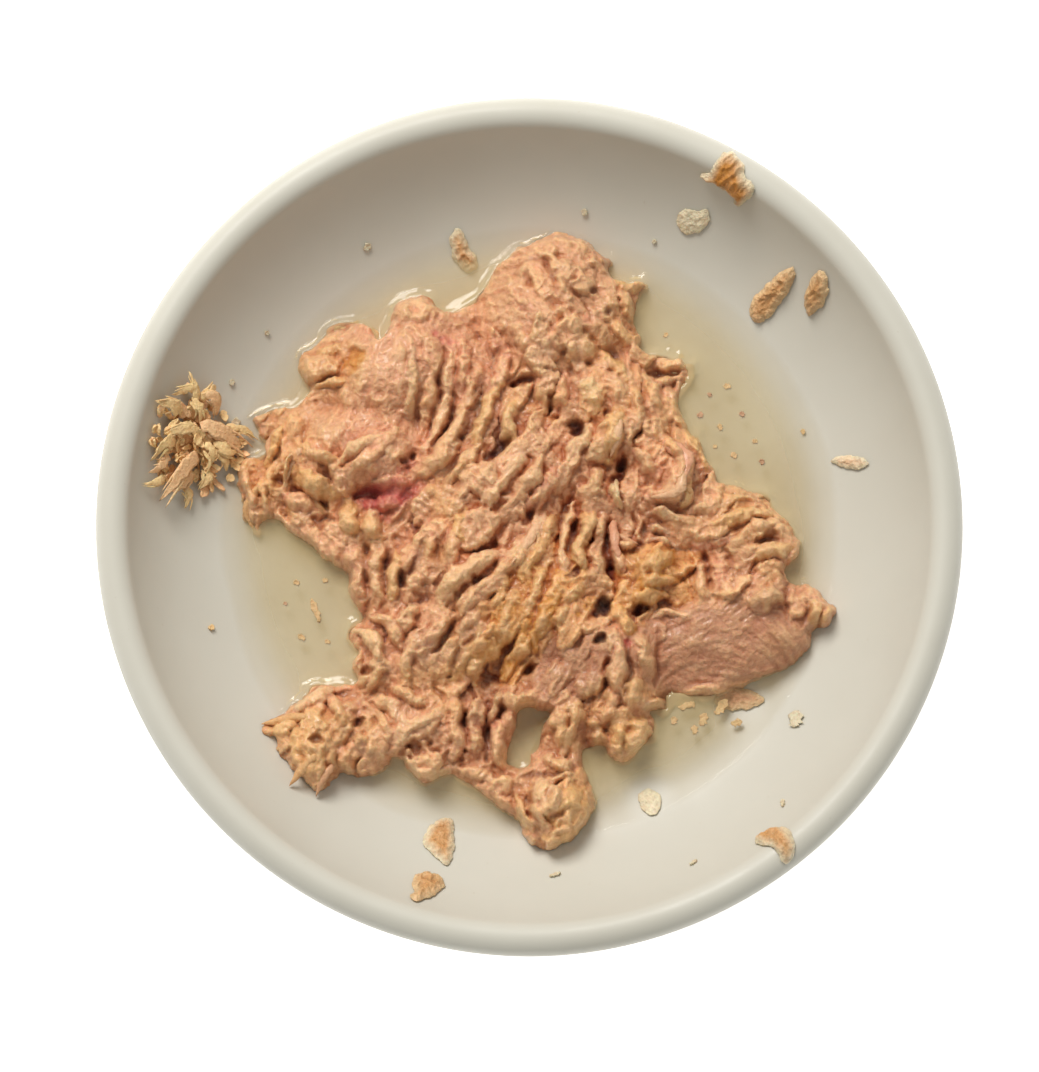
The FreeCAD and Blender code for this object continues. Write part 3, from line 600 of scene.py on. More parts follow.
TONES = {
    "tan": linear(214, 158, 118),
    "pale": linear(228, 180, 140),
    "ochre": linear(214, 162, 106),
    "gold": linear(205, 138, 58),
    "pink": linear(214, 148, 116),
    "rose": linear(206, 104, 94),
    "mauve": linear(182, 124, 92),
    "grey": linear(200, 156, 122),
    # brown is painted shade in grooves and hollows, and the flesh's own colour on one swelling;
    # the two tones after it are painted shade only, for the deeper grooves and hollows.
    "brown": linear(162, 100, 58),
    "dark": linear(116, 60, 36),
    "crevice_shade": linear(62, 32, 24),
    "cream": linear(232, 200, 154),
    "film": linear(238, 226, 194),
    "straw": linear(252, 213, 153),
    "blush": linear(252, 203, 152),
}

# Broad tones over the heap: tone, place, half-length, half-width, bearing, share.
BROAD_TONES = (
    ("pink", -22, 30, 14, 15, 80, 0.5), ("tan", 5, 42, 16, 14, 0, 0.4),
    ("gold", 1, -13, 14, 9, 62, 0.9), ("gold", 21, -7.6, 8, 7, 0, 0.9),
    ("mauve", 35, -21, 18, 9.5, 0, 1.0), ("mauve", 7, -24, 8, 6, 45, 1.0),
    ("mauve", -9, -35, 7, 8, 80, 0.3), ("ochre", -48, 8, 7, 14, 80, 0.5),
    ("ochre", 5, -49, 8, 8, 0, 0.7), ("ochre", -40, -38, 8, 9, 0, 0.5),
    ("pink", -32, 12, 9, 8, 0, 0.5), ("ochre", 38, 3, 12, 6, 10, 0.4),
    ("rose", -25, 7, 6, 2.4, 15, 0.8), ("ochre", -37, 30, 8, 7, 0, 0.5),
    ("grey", -12, 22, 6, 12, 70, 0.4), ("ochre", 18, -36, 5, 6, 60, 0.5),
)

# The way the fibres run: place, bearing in degrees, and how far that holds.
FIBRE_RUN = (
    (-17, 30, 82, 5), (-14.7, 26, 72, 4), (-13, 20, 60, 5), (-20, 20, 74, 6), (-30, 28, 70, 6),
    (-38, 30, 20, 5), (-46, 16, 80, 5), (-50, 8, 76, 5), (-41, -1, 140, 5), (-31, -7, 80, 4),
    (-27, -7, 88, 4), (-20, -3, 60, 5), (-14, -18, 60, 6), (-10, -6, 40, 5), (-12, -22, 62, 6),
    (0, 0, 60, 6), (4, -12, 62, 6), (2, -22, 60, 6), (7, 5, 58, 6), (11, 0, 84, 5),
    (15, -2, 90, 4), (20, -8, 60, 5), (24, 0, 170, 4), (17, 18, 80, 5), (11, 25, 70, 5),
    (4, 26, 85, 5), (9, 34, 60, 5), (1, 34, 70, 5), (2, 47, 150, 5), (10, 43, 140, 5),
    (19, 43, 70, 4), (16, 34, 120, 4), (24, 12, 95, 4), (28, 24, 110, 5), (26, 30, 40, 4),
    (32, 9, 60, 4), (40, 4, 15, 5), (45, -3, 30, 5), (42, -11, 28, 4), (50, -12, 100, 4),
    (26, -20, 20, 6), (36, -22, 165, 6), (44, -18, 130, 5), (36, -14, 60, 4), (-38, -38, 62, 6),
    (-30, -41, 100, 5), (-34, -31, 25, 4), (-20, -38, 45, 5), (-26, -32, 50, 5),
    (-16, -42, 10, 4), (-8, -36, 76, 5), (-8, -46, 45, 4), (17, -20, 86, 5), (18, -30, 80, 5),
    (18, -37, 60, 4), (7, -34, 80, 4), (12, -35, 70, 4), (2, -46, 70, 4), (-27, 13, 30, 5),
    (-35, 12, 100, 5), (-7, 11, 50, 5), (-2, 18, 60, 6), (6, 14, 60, 5),
)

# Ropes of flesh: tone, half-width, rise, and the places that each runs through.
ROPES = (
    # the upper left mound and the folds to its right
    ("tan", 1.3, 1.0, (-17.5, 37, -17, 30, -18.5, 22, -19.5, 17)),
    ("pale", 1.5, 1.5, (-14.2, 34, -14.4, 28, -15.4, 22, -17.2, 18, -20.5, 13.5)),
    ("pink", 1.1, 1.0, (-11.8, 36, -11.5, 32, -12.6, 26, -15, 19.5)),
    ("tan", 1.7, 1.8, (-9.5, 31, -10.8, 24, -13, 18, -17, 13, -21, 10.8)),
    ("grey", 1.0, 0.9, (-21.5, 35, -21, 28, -22, 21)),
    ("tan", 0.9, 0.8, (-8.5, 18, -11.5, 12.5, -15, 8.5)),
    ("pink", 1.2, 1.0, (-6.5, 36.5, -5, 31, -7, 25, -9, 20)),
    ("ochre", 1.3, 1.3, (-5, 29, -7.5, 23, -9.8, 16.5)),
    ("ochre", 1.2, 1.2, (-2.2, 25, -3.4, 20, -4.2, 16.5)),
    ("pale", 1.0, 1.1, (-34, 12.6, -31.4, 15.4, -27.6, 16.6, -25, 15.2, -23.4, 12.6)),
    ("tan", 1.0, 0.8, (-24.5, 16, -22.7, 13)),
    ("ochre", 1.0, 1.2, (-45.2, 19.2, -46.2, 16, -46.8, 12.8)),
    ("cream", 0.5, 1.5, (-42.5, 14.2, -43, 11.6, -43.8, 8.8)),
    ("tan", 1.2, 1.1, (-40.5, 16, -38, 14.2, -34.4, 13.4)),
    ("ochre", 1.4, 1.1, (-41.5, 11, -38, 8.6, -34.6, 7.2)),
    ("tan", 0.9, 0.8, (-50.8, 12.4, -50.2, 8, -49.6, 3.6)),
    ("tan", 0.7, 0.8, (-50.6, 4.2, -49.8, 1.8, -49, -0.2)),
    ("tan", 0.8, 0.6, (-47.6, 10.6, -47.6, 6.4, -47, 3)),
    ("pink", 1.2, 1.0, (-44.6, 7.4, -41, 5.4, -38.6, 4.2)),
    ("ochre", 1.5, 1.2, (-32.6, 4.8, -32, 2, -31.4, -0.6)),
    ("pale", 1.1, 1.1, (-28.2, 4.6, -28, 1.8, -27.6, -0.6)),
    ("pale", 1.0, 1.0, (-45.2, 3, -42.2, -0.6, -39.4, -3, -33.6, -6.4)),
    ("ochre", 1.0, 0.7, (-40, 29.6, -37.4, 30.2, -34.6, 31)),
    ("ochre", 0.8, 0.7, (-39.4, 27.2, -36, 27.6, -32.6, 28.6)),
    ("ochre", 0.9, 0.8, (-38.6, 33, -35.6, 33.2, -33, 34.4)),
    ("pink", 1.4, 1.0, (-26.4, 11, -29.5, 12.8, -32.6, 11.6)),
    ("rose", 1.2, 0.8, (-30.6, 5.4, -27, 5.6, -22.6, 6.6)),
    ("pink", 1.0, 0.9, (-21, 9.4, -24.5, 9.6, -28, 9.2)),
    # the top
    ("tan", 1.2, 0.7, (-3, 50.6, 1.6, 52.2, 5.2, 49, 7, 44.5, 8, 41)),
    ("tan", 1.0, 0.7, (-3.4, 48.2, 0.4, 48.6, 2.4, 45.6, 3.2, 41.6)),
    ("pink", 1.0, 0.6, (-6.4, 45.2, -3.4, 44.6, -0.6, 41.6, 0.4, 38)),
    ("tan", 1.1, 0.8, (6.6, 48.4, 10.4, 46, 13.2, 42)),
    ("tan", 0.9, 0.7, (9, 50.6, 12.2, 49.4, 14, 46.6)),
    ("ochre", 1.0, 0.8, (14.2, 47.4, 17.6, 46.2, 20.8, 46.6)),
    ("tan", 1.2, 1.0, (16.6, 45.6, 17.6, 42.4, 19, 39.6)),
    ("tan", 1.1, 0.9, (14.6, 38.4, 17, 36, 19.4, 34)),
    ("pink", 1.2, 0.8, (9.6, 40, 12.4, 37.4, 15, 33)),
    ("ochre", 1.0, 0.8, (13, 33.4, 15.8, 30.4, 17.6, 26.4)),
    ("tan", 1.4, 0.9, (-3, 40.6, -1.6, 36.6, 0.6, 33)),
    ("pale", 1.9, 0.8, (2.2, 36.6, 3, 33.8, 3.4, 31.2)),
    ("pale", 1.9, 0.8, (8.4, 37, 9, 34, 9.6, 31.4)),
    ("tan", 1.1, 0.8, (4.6, 41.6, 6.6, 39.4, 8, 37)),
    ("pink", 1.6, 1.1, (1.8, 29, 2.2, 25.6, 1.6, 22.4)),
    ("pink", 1.3, 1.1, (5.8, 28.6, 6, 25.6, 5.4, 22.6)),
    ("cream", 1.4, 1.2, (9.4, 28.4, 11.4, 25.6, 11, 22.4)),
    ("tan", 1.5, 1.2, (13.2, 29.6, 15, 27.4, 16.6, 22.8)),
    ("ochre", 1.5, 1.6, (15.8, 22.4, 15, 18.2, 13.6, 14.4)),
    ("tan", 1.0, 0.9, (18.8, 27.4, 20, 23, 19.8, 20)),
    ("tan", 1.1, 0.9, (21.4, 30.4, 22.6, 25, 23.2, 20.4)),
    ("pink", 1.4, 1.6, (23.4, 17.6, 26.2, 15.4, 27.2, 11.6, 25.4, 7.8, 21.4, 6.6)),
    ("ochre", 0.8, 0.9, (27.8, 9.8, 28.4, 7.4, 26.8, 5.6)),
    ("tan", 1.0, 0.7, (24.6, 27.6, 26, 23, 28.4, 18.4)),
    ("pale", 1.3, 0.7, (22.6, 32.4, 26, 31.2, 28.6, 30.6)),
    ("tan", 1.0, 0.6, (21.8, 28, 25.4, 28.2, 28, 28.6)),
    ("ochre", 0.9, 0.5, (28.4, 19.8, 30.4, 15.4, 32.2, 11)),
    ("pink", 1.4, 0.9, (18, 14.6, 20.4, 13, 22.4, 11.2)),
    ("cream", 0.6, 1.2, (15.6, 9.2, 15.4, 7, 16, 5.2)),
    ("tan", 1.5, 1.2, (-8.4, 13.2, -6.6, 10.2, -5.6, 7.4)),
    ("pale", 1.4, 1.4, (-1.4, 16.4, -3, 12.4, -6, 7.6, -8.6, 3.6)),
    ("tan", 1.3, 1.2, (2.6, 15, 0.4, 10.4, -3.2, 5.4, -5.6, 1)),
    ("pink", 1.2, 1.1, (4.4, 12.2, 2.6, 8.6, 0, 4.4)),
    ("pale", 1.5, 1.3, (10.2, 19.6, 8.6, 15.6, 6.4, 11.4)),
    ("tan", 1.2, 1.0, (12.8, 12.4, 10.6, 8.6, 8.6, 6)),
    # the middle
    ("pale", 1.6, 1.4, (2.6, 3, -0.4, -1.4, -3.4, -6)),
    ("ochre", 1.1, 1.1, (5, 3.4, 3.2, 0.4, 1, -3.6, -1.2, -7.4)),
    ("ochre", 1.3, 1.3, (10.8, 5, 10.2, 1.4, 8.8, -3, 10, -7)),
    ("pale", 1.0, 1.2, (7.6, 5.4, 6.4, 2.4, 5.8, -2.4, 6.2, -6.4)),
    ("pink", 0.9, 1.2, (15.2, 1.6, 15, -1.4, 15.2, -3.6, 16.6, -6)),
    ("tan", 0.7, 1.0, (15.6, -3, 17, -2.2, 18.8, -1.6)),
    ("tan", 1.2, 1.1, (12.6, 3.6, 12.4, 0, 12.2, -4, 13.2, -8)),
    ("grey", 0.7, 0.9, (20.8, 1, 23.4, 0.2, 26.4, -1)),
    ("grey", 0.7, 0.9, (21.2, -1.2, 24, -1.8, 27, -3)),
    ("grey", 0.7, 0.8, (21, 3.4, 24.6, 3, 28.4, 1.4)),
    ("gold", 1.5, 1.3, (25.4, -4, 22.6, -5.4, 19.4, -5.6)),
    ("gold", 1.5, 1.3, (25.6, -7.4, 22.8, -8.6, 19.6, -8.2)),
    ("gold", 1.2, 1.0, (23.8, -11.4, 20.8, -11.4, 18, -10)),
    ("gold", 1.3, 1.1, (14.4, -12.6, 16.4, -15, 18.8, -18)),
    ("ochre", 1.0, 1.0, (3.8, -4.4, 1.6, -9, -0.4, -14, -2.6, -18)),
    ("gold", 1.2, 1.1, (6.6, -6.6, 4.6, -11, 2.8, -15.4, 0.6, -20)),
    ("ochre", 1.3, 1.1, (9.4, -8.4, 7.4, -12.6, 5, -17.6)),
    ("gold", 1.1, 1.0, (11.8, -10.4, 9.6, -14, 7.6, -17.4)),
    ("ochre", 1.0, 1.0, (-4.4, -5.4, -5, -10, -6.8, -15.6)),
    ("ochre", 1.2, 1.1, (-1.6, -9, -3.4, -13.4, -5.6, -18.6, -6.8, -22)),
    ("gold", 1.3, 1.1, (0.4, -15, -1.6, -20, -4.4, -25.4)),
    ("ochre", 1.3, 1.2, (-8.4, -19.4, -9.6, -23, -9.4, -26.4)),
    ("pink", 1.2, 1.2, (-17.2, 2.4, -19.6, -2.6, -22.4, -7.4)),
    ("pink", 1.0, 1.2, (-14.8, 1.4, -14, -2, -14, -5.4)),
    ("ochre", 1.0, 1.0, (-11, 5.2, -12.6, 1.4, -12, -2.6)),
    ("pale", 1.4, 1.3, (-5.4, -2.8, -9.8, -5.4, -13.6, -8.4, -15.6, -12)),
    ("tan", 1.3, 1.2, (-2.6, -3, -5.4, -7.6, -9.6, -11.4, -13, -14.6)),
    ("tan", 1.2, 1.1, (-8, -13, -11.6, -16.4, -13.4, -19.6, -16, -24)),
    ("pink", 1.2, 1.1, (-14.2, -14.2, -16.6, -17.4, -18.6, -20.4)),
    ("tan", 1.2, 1.0, (-20, -13, -21.4, -15, -22.6, -17.4)),
    ("ochre", 1.1, 1.1, (-7.4, -15, -9.6, -19, -11.8, -23.4, -13.4, -27)),
    ("tan", 1.0, 0.9, (-19.6, -18.6, -21.4, -22, -23, -26)),
    ("pink", 2.2, 1.3, (-30.8, -2.4, -30.6, -7, -30, -12.4)),
    ("tan", 1.6, 1.2, (-26.8, -2.6, -27, -7, -26.6, -12.4)),
    ("ochre", 1.1, 0.9, (-23.6, -3, -23.8, -6, -24.4, -11)),
    ("pale", 1.0, 1.0, (-31.2, -17, -28.4, -18.8, -26.4, -21, -25, -24.2)),
    ("tan", 1.1, 0.9, (-27.6, -14.4, -24.6, -16.4, -22.8, -20)),
    ("tan", 0.9, 0.8, (-30.6, -21, -30.8, -23.4, -29.6, -25.8, -27.2, -26.2)),
    # the lower left lobe
    ("pale", 1.0, 0.9, (-41.6, -32, -39, -29.6, -35, -28)),
    ("tan", 1.1, 0.9, (-34.6, -29, -33.4, -31.4, -32, -34.6)),
    ("ochre", 1.2, 0.9, (-41.2, -34.6, -40.4, -38, -40, -42)),
    ("ochre", 0.9, 0.8, (-38.4, -32.6, -38.8, -37, -37.4, -45.6)),
    ("ochre", 1.1, 0.8, (-45.6, -35.4, -43, -34.6, -41, -33.8)),
    ("pink", 1.3, 1.0, (-33, -37.6, -31.6, -41, -31, -43)),
    ("mauve", 1.2, 0.9, (-30.4, -35.4, -28.4, -37.6, -27, -40.4)),
    ("tan", 1.1, 0.9, (-35.4, -34.4, -34.4, -38, -34.6, -42)),
    ("tan", 0.9, 0.8, (-29.6, -29.4, -26.4, -32.4, -23.4, -36)),
    ("pale", 0.8, 0.8, (-27.4, -28.4, -24, -31, -20.6, -33.6)),
    ("pale", 1.2, 1.2, (-24, -37, -22, -34.8, -19, -33, -14.6, -31.2)),
    ("pale", 1.1, 1.1, (-23, -39, -18.6, -42.4, -14.4, -42.2)),
    ("tan", 1.0, 0.9, (-24.6, -27.4, -20.8, -29.4, -17, -29.8)),
    ("pink", 1.3, 1.1, (-13.4, -29.6, -12.4, -34.4, -13.4, -39.4)),
    ("mauve", 1.4, 1.2, (-9.4, -29.8, -9.6, -34.6, -9.4, -39.6)),
    ("pink", 1.2, 1.2, (-6.2, -33, -5.6, -37.6, -4.2, -42)),
    ("mauve", 1.0, 1.0, (-4.4, -28.4, -6, -31, -7.4, -33.4)),
    ("tan", 1.1, 0.8, (-13.4, -42, -8.6, -43.4, -4, -46.6)),
    ("tan", 1.0, 0.8, (-10, -44, -6.4, -46.4, -3, -49.6)),
    # the lower right
    ("tan", 1.4, 1.2, (-4.2, -30.2, -1, -30, 2.2, -28)),
    ("tan", 1.6, 1.2, (4.4, -30, 5.4, -34.4, 4.6, -38.6)),
    ("pale", 1.2, 1.1, (8, -30.4, 7.4, -34.4, 5.2, -39.6)),
    ("tan", 1.2, 1.0, (1.8, -39.4, 4.6, -41, 7.6, -41.6)),
    ("mauve", 1.4, 1.0, (10.8, -32, 11.4, -35, 12.6, -38)),
    ("mauve", 2.4, 0.6, (9.6, -20, 6.6, -23.6, 3.2, -27)),
    ("mauve", 1.8, 0.6, (12, -23.6, 9.4, -27, 7.6, -29.6)),
    ("pink", 1.6, 1.2, (15.2, -18.6, 15.4, -23, 15, -28)),
    ("tan", 1.6, 1.3, (18.8, -17.6, 20.6, -21.4, 20.4, -25.6)),
    ("tan", 1.5, 1.2, (18.4, -25.4, 18, -28.4, 18.8, -31.6)),
    ("pink", 1.2, 1.0, (14.8, -27.8, 13.4, -31, 13.6, -34)),
    ("ochre", 1.6, 1.3, (19.4, -32.4, 18.8, -35.6, 16.6, -39.6)),
    ("ochre", 1.1, 1.0, (15.4, -33.4, 15.4, -37, 15.8, -40)),
    ("grey", 1.0, 0.7, (19, -30.8, 22, -31, 25.6, -31.2)),
    ("tan", 1.0, 0.9, (28, 4.4, 32.2, 4.6, 36.4, 6.2, 41.2, 6.2)),
    ("ochre", 1.2, 1.0, (30.4, 0.8, 34.6, 2.4, 39.6, 3.2, 44, 3.2)),
    ("pink", 1.1, 1.0, (28.4, -2.4, 32.4, -1.2, 36, -0.6)),
    ("ochre", 1.2, 1.0, (37.6, -3.6, 41.6, -3.8, 46.6, -2)),
    ("tan", 1.0, 0.9, (38.8, 0.6, 41.4, 1.4, 45.6, 0.6)),
    ("pink", 0.9, 1.0, (29.6, -4, 30.4, -8, 31.4, -12.6)),
    ("pink", 0.9, 1.0, (32.8, -3.6, 34, -8, 34.4, -12)),
    ("tan", 0.8, 0.9, (36.4, -4.4, 37, -8, 38, -11.4)),
    ("tan", 0.8, 0.8, (40.4, -5.2, 41.4, -7.4, 43.4, -8.6)),
    ("mauve", 1.9, 2.0, (38.6, -13.4, 41.6, -11.8, 45.2, -9.8)),
    ("tan", 0.9, 0.8, (46.8, -10.4, 47.4, -13.4, 46.4, -16.4)),
    ("ochre", 1.0, 0.9, (50, -10.8, 50.4, -13.4, 49.4, -16.6)),
    ("ochre", 0.9, 0.8, (52.4, -12.4, 52.6, -14.2, 51.4, -16.4)),
    ("tan", 0.8, 0.5, (24, -28.6, 30, -28.2, 36.6, -26.6, 43, -24.4)),
    ("pale", 0.7, 0.6, (20.8, -16, 25, -14, 29.6, -15.6)),
    # the curl at the bottom
    ("ochre", 1.2, 1.1, (9.2, -44.8, 9.8, -49, 6.8, -53.4, 2.6, -53.2)),
    ("ochre", 2.2, 0.9, (8.4, -44.6, 7.2, -47.6, 4.4, -51)),
    ("pale", 1.5, 1.7, (1.8, -43.6, 3, -46.4, 5.8, -48)),
    ("tan", 1.3, 1.2, (1.2, -46.8, 1.8, -50, 4.2, -52.2)),
    ("ochre", 1.0, 0.9, (-2.4, -46.2, -1.4, -49, 0.4, -52)),
    ("tan", 0.9, 0.8, (8, -42, 4.6, -43.4, 2, -44.6)),
)

# Grooves: tone, half-width, depth, and the places that each runs through.
# The tone is painted shade in the groove.
GROOVES = (
    ("brown", 0.8, 1.6, (-15.7, 34, -15.5, 29, -16.6, 24, -18.4, 18.6)),
    ("brown", 0.8, 1.6, (-12.6, 31, -13.2, 25, -15.2, 19.6, -18.2, 15)),
    ("dark", 1.1, 2.2, (-8, 30, -9.4, 24, -11.3, 18.5, -14.6, 13.6)),
    ("brown", 1.1, 1.8, (-33, 6.8, -29, 7.8, -24.6, 8.4)),
    ("dark", 0.7, 1.6, (-31.6, 6.4, -29, 7.4, -26, 7.8)),
    ("brown", 0.9, 1.6, (-7, 32.4, -5.2, 33.4, -3.4, 34)),
    ("crevice_shade", 1.2, 3.0, (-8.2, 13.4, -6, 15.2, -4, 17.4)),
    ("brown", 0.9, 1.4, (-3.6, 27, -1.4, 28.2, 0.6, 28.2)),
    ("brown", 1.1, 1.6, (12.6, 37.4, 14, 34.4, 16, 31.4)),
    ("brown", 0.6, 0.9, (0.2, 38.8, 3.6, 38, 6, 34.6, 5.8, 30.4)),
    ("brown", 0.6, 0.9, (-1.4, 30.6, 3, 29.8, 8.4, 30.2)),
    ("brown", 0.6, 0.8, (-3, 49.4, 2.2, 50.6, 4, 47.6, 5.4, 43.4)),
    ("brown", 0.6, 0.8, (5.8, 46.4, 9, 43, 11.4, 39)),
    ("dark", 0.7, 1.6, (3.6, 25, 4, 22.4)),
    ("crevice_shade", 1.3, 3.2, (6.6, 20.4, 8, 19.2, 9, 17)),
    ("brown", 0.9, 1.4, (10.2, 31.6, 12, 31)),
    ("dark", 1.0, 2.0, (18.6, 19.4, 19.6, 16.8)),
    ("crevice_shade", 1.1, 2.6, (16.4, 13.8, 15.6, 11.4)),
    ("dark", 1.1, 2.2, (16.6, 9.8, 14.6, 9.4)),
    ("brown", 0.9, 1.4, (21.8, 28.4, 20.6, 24, 21.6, 19)),
    ("brown", 0.7, 1.0, (23, 30.6, 24.6, 29.4)),
    ("dark", 0.8, 2.0, (3.4, -0.8, 5, 2, 7, 5.2)),
    ("dark", 0.8, 2.0, (-1.6, 1.8, 0, 3.8, 1.6, 6.2)),
    ("brown", 0.8, 1.8, (8, 2.6, 7.4, -1.4, 8, -4.6)),
    ("dark", 0.8, 2.0, (13.8, 0.4, 13.8, -3, 14.6, -6)),
    ("dark", 0.9, 2.0, (20, 2.4, 19.8, -0.6, 18.6, -3)),
    ("dark", 0.9, 2.2, (-13, -15.2, -14.8, -18, -16.6, -21.2)),
    ("dark", 0.8, 2.0, (-10, -17.8, -12.4, -21.4, -14, -25.2)),
    ("dark", 0.9, 2.0, (-18, -1, -19.4, -4, -21.6, -8)),
    ("brown", 0.8, 1.6, (-16, 0.6, -16.4, -3, -17.2, -7)),
    ("brown", 0.9, 1.6, (-28.9, -1.6, -29, -6, -28.4, -12)),
    ("brown", 0.9, 1.6, (-25.2, -2, -25.4, -6, -25.4, -11)),
    ("brown", 0.8, 1.4, (-17, -26, -15.8, -28.4, -15, -30.4)),
    ("dark", 0.8, 1.4, (-4.4, -30.6, -4.4, -32.6)),
    ("dark", 0.7, 1.6, (-7.6, -34, -8, -41)),
    ("dark", 0.8, 1.6, (-11, -31.6, -11.6, -35.6)),
    ("brown", 0.7, 1.2, (10.4, -30.4, 9.6, -34, 9.4, -38)),
    ("brown", 0.9, 1.6, (13.4, -22, 13.4, -27, 12.4, -31)),
    ("dark", 0.9, 1.8, (17.2, -19, 17.4, -24, 16.8, -30)),
    ("brown", 0.8, 1.2, (17.4, -32.4, 17, -36)),
    ("brown", 0.7, 1.2, (22.6, -17.4, 22.8, -22, 22, -27)),
    ("brown", 0.8, 1.4, (38, -1.4, 41.8, -1, 45, -1.2)),
    ("brown", 0.7, 1.2, (35.2, -2, 35.6, -6, 36, -10.6)),
    ("brown", 0.7, 1.2, (31, -1.6, 31.6, -6, 32.8, -12)),
    ("brown", 0.7, 1.2, (44.6, -7, 46, -9.6, 45.4, -13)),
    ("brown", 0.6, 1.0, (48.8, -11, 49, -13.6, 47.8, -17)),
    ("brown", 0.8, 1.2, (3.4, -43.6, 3.4, -46, 4.6, -48.8, 7.4, -48.6)),
    ("brown", 0.7, 1.2, (0, -45, 0.6, -48.4, 2, -51.6)),
    ("dark", 0.8, 1.4, (-2, -42.6, 2, -42.6, 6.4, -43.2)),
    ("brown", 0.8, 1.2, (-34.6, 10, -37, 6, -36.6, 1.6)),
    ("brown", 0.6, 1.0, (-40.6, -38.4, -38.8, -40.8)),
)

# Hollows: tone, place, half-length, half-width, bearing, depth. The brown and darker
# tones are painted shade in the hollow; the gold, grey and rose ones are the flesh's own colour
# there.
HOLLOWS = (
    ("gold", -31.8, 31.6, 2.6, 1.7, 40, 1.1), ("dark", -21.5, 13.4, 1.4, 1.2, 60, 1.8),
    ("brown", -45, 10, 1.7, 1.1, 60, 1.8), ("brown", -37, 2, 2.2, 1.4, 20, 1.6),
    ("brown", -1.5, 28, 1.8, 1.2, 10, 1.4), ("brown", 0, 46.5, 0.8, 0.6, 0, 0.8),
    ("brown", -1.5, 41, 0.7, 0.6, 0, 0.7), ("dark", 11.5, 44.5, 0.9, 0.6, 30, 1.2),
    ("dark", 14, 40.7, 1.0, 0.7, 60, 1.2), ("dark", -22.5, -8.6, 1.4, 1.0, 60, 1.8),
    ("grey", -18.5, -10.5, 2.8, 1.9, 50, 1.6), ("brown", -28.8, -24.4, 1.5, 1.0, 40, 1.3),
    ("dark", -37, -36.5, 1.2, 0.8, 30, 1.3), ("dark", -30, -33.4, 1.3, 0.8, 30, 1.3),
    ("brown", -20, -37.6, 3.0, 1.6, 20, 2.0), ("crevice_shade", 12.5, -13.5, 1.9, 1.4, 60, 2.6),
    ("dark", 19.5, -13.4, 1.5, 1.1, 20, 2.0), ("crevice_shade", 12.5, -18.6, 1.5, 1.1, 40, 2.2),
    ("brown", 0, -23.4, 1.6, 1.1, 60, 1.4), ("brown", 42.4, -0.8, 2.2, 1.1, 15, 1.6),
    ("brown", 22.6, 30, 1.4, 0.8, 20, 1.2), ("dark", 7.6, -6.8, 1.2, 0.9, 60, 1.6),
    ("rose", -21.7, 7.3, 1.6, 1.1, 20, 0.3), ("rose", 17.2, -19.4, 0.9, 0.9, 0, 0.4),
    ("rose", -15.2, 35.8, 2.2, 1.4, 150, 0.2), ("rose", -27, 6.3, 2.4, 0.9, 15, 0.3),
)

# Swellings: tone, place, half-length, half-width, bearing, rise.
SWELLINGS = (
    ("tan", -21, 41, 3.8, 3.2, 0, 1.2), ("pink", -29, 12.2, 4.4, 3.2, 10, 1.0),
    ("tan", 5, 53.2, 3.4, 2.2, 0, 0.8), ("brown", 12.4, 50, 2.0, 1.8, 0, 0.5),
    ("pink", 4, 26, 3.4, 3.6, 80, 0.5), ("cream", 11.4, 25.4, 3.0, 2.4, 60, 0.7),
    ("mauve", 31, 9, 2.6, 2.0, 50, 0.4), ("grey", 42, -11.4, 4.2, 1.9, 28, 0.7),
    ("pink", 20.4, 13.4, 2.4, 1.8, 150, 0.5), ("ochre", 5.6, -49, 4.6, 4.4, 0, 0.9),
    ("tan", 21.2, -21.6, 2.4, 3.0, 90, 0.6), ("tan", 18.2, -27.4, 2.6, 2.6, 0, 0.6),
    ("pink", -31.6, -40.6, 2.2, 1.8, 0, 0.5), ("pale", -7, 10.6, 2.6, 2.2, 50, 0.8),
    ("ochre", -38.4, 8.8, 3.0, 2.0, 150, 0.6), ("tan", -35.6, 18.6, 3.4, 2.6, 20, 0.6),
    ("tan", -42.6, 19.6, 2.8, 2.0, 60, 0.5), ("pale", -25, 31, 4.2, 3.2, 70, 0.4),
    ("tan", -26, 23, 3.8, 3.0, 40, 0.4), ("tan", -33, 24.4, 2.8, 2.4, 0, 0.5),
)


def food_height(node, plan):
    """The height of a frame node's top at the places of a plan, and where it has one."""
    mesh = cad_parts[node].data
    corners = [vertex.co / MM for vertex in mesh.vertices]
    tree = BVHTree.FromPolygons(corners, [tuple(face.vertices) for face in mesh.polygons])
    height = np.zeros(plan.x.shape)
    found = np.zeros(plan.x.shape)
    for index in np.ndindex(plan.x.shape):
        hit = tree.ray_cast(Vector((plan.x[index], plan.y[index], 100)), Vector((0, 0, -1)))[0]
        if hit:
            height[index] = hit.z
            found[index] = 1
    return height, found


def pairs(numbers):
    """Places from a plain row of numbers."""
    return np.array(numbers, dtype=float).reshape(-1, 2)


def trued(places):
    """Places on the drawing at true size: it is drawn a little too large, most so at the back."""
    across, along, less_behind = 0.988, 0.981, 0.00028
    right, nearer = 0.08, 0.47
    x, y = np.array(places, dtype=float).T
    less = less_behind * y
    return np.stack([right + x * (across - less), y * (along - less) - nearer], 1)


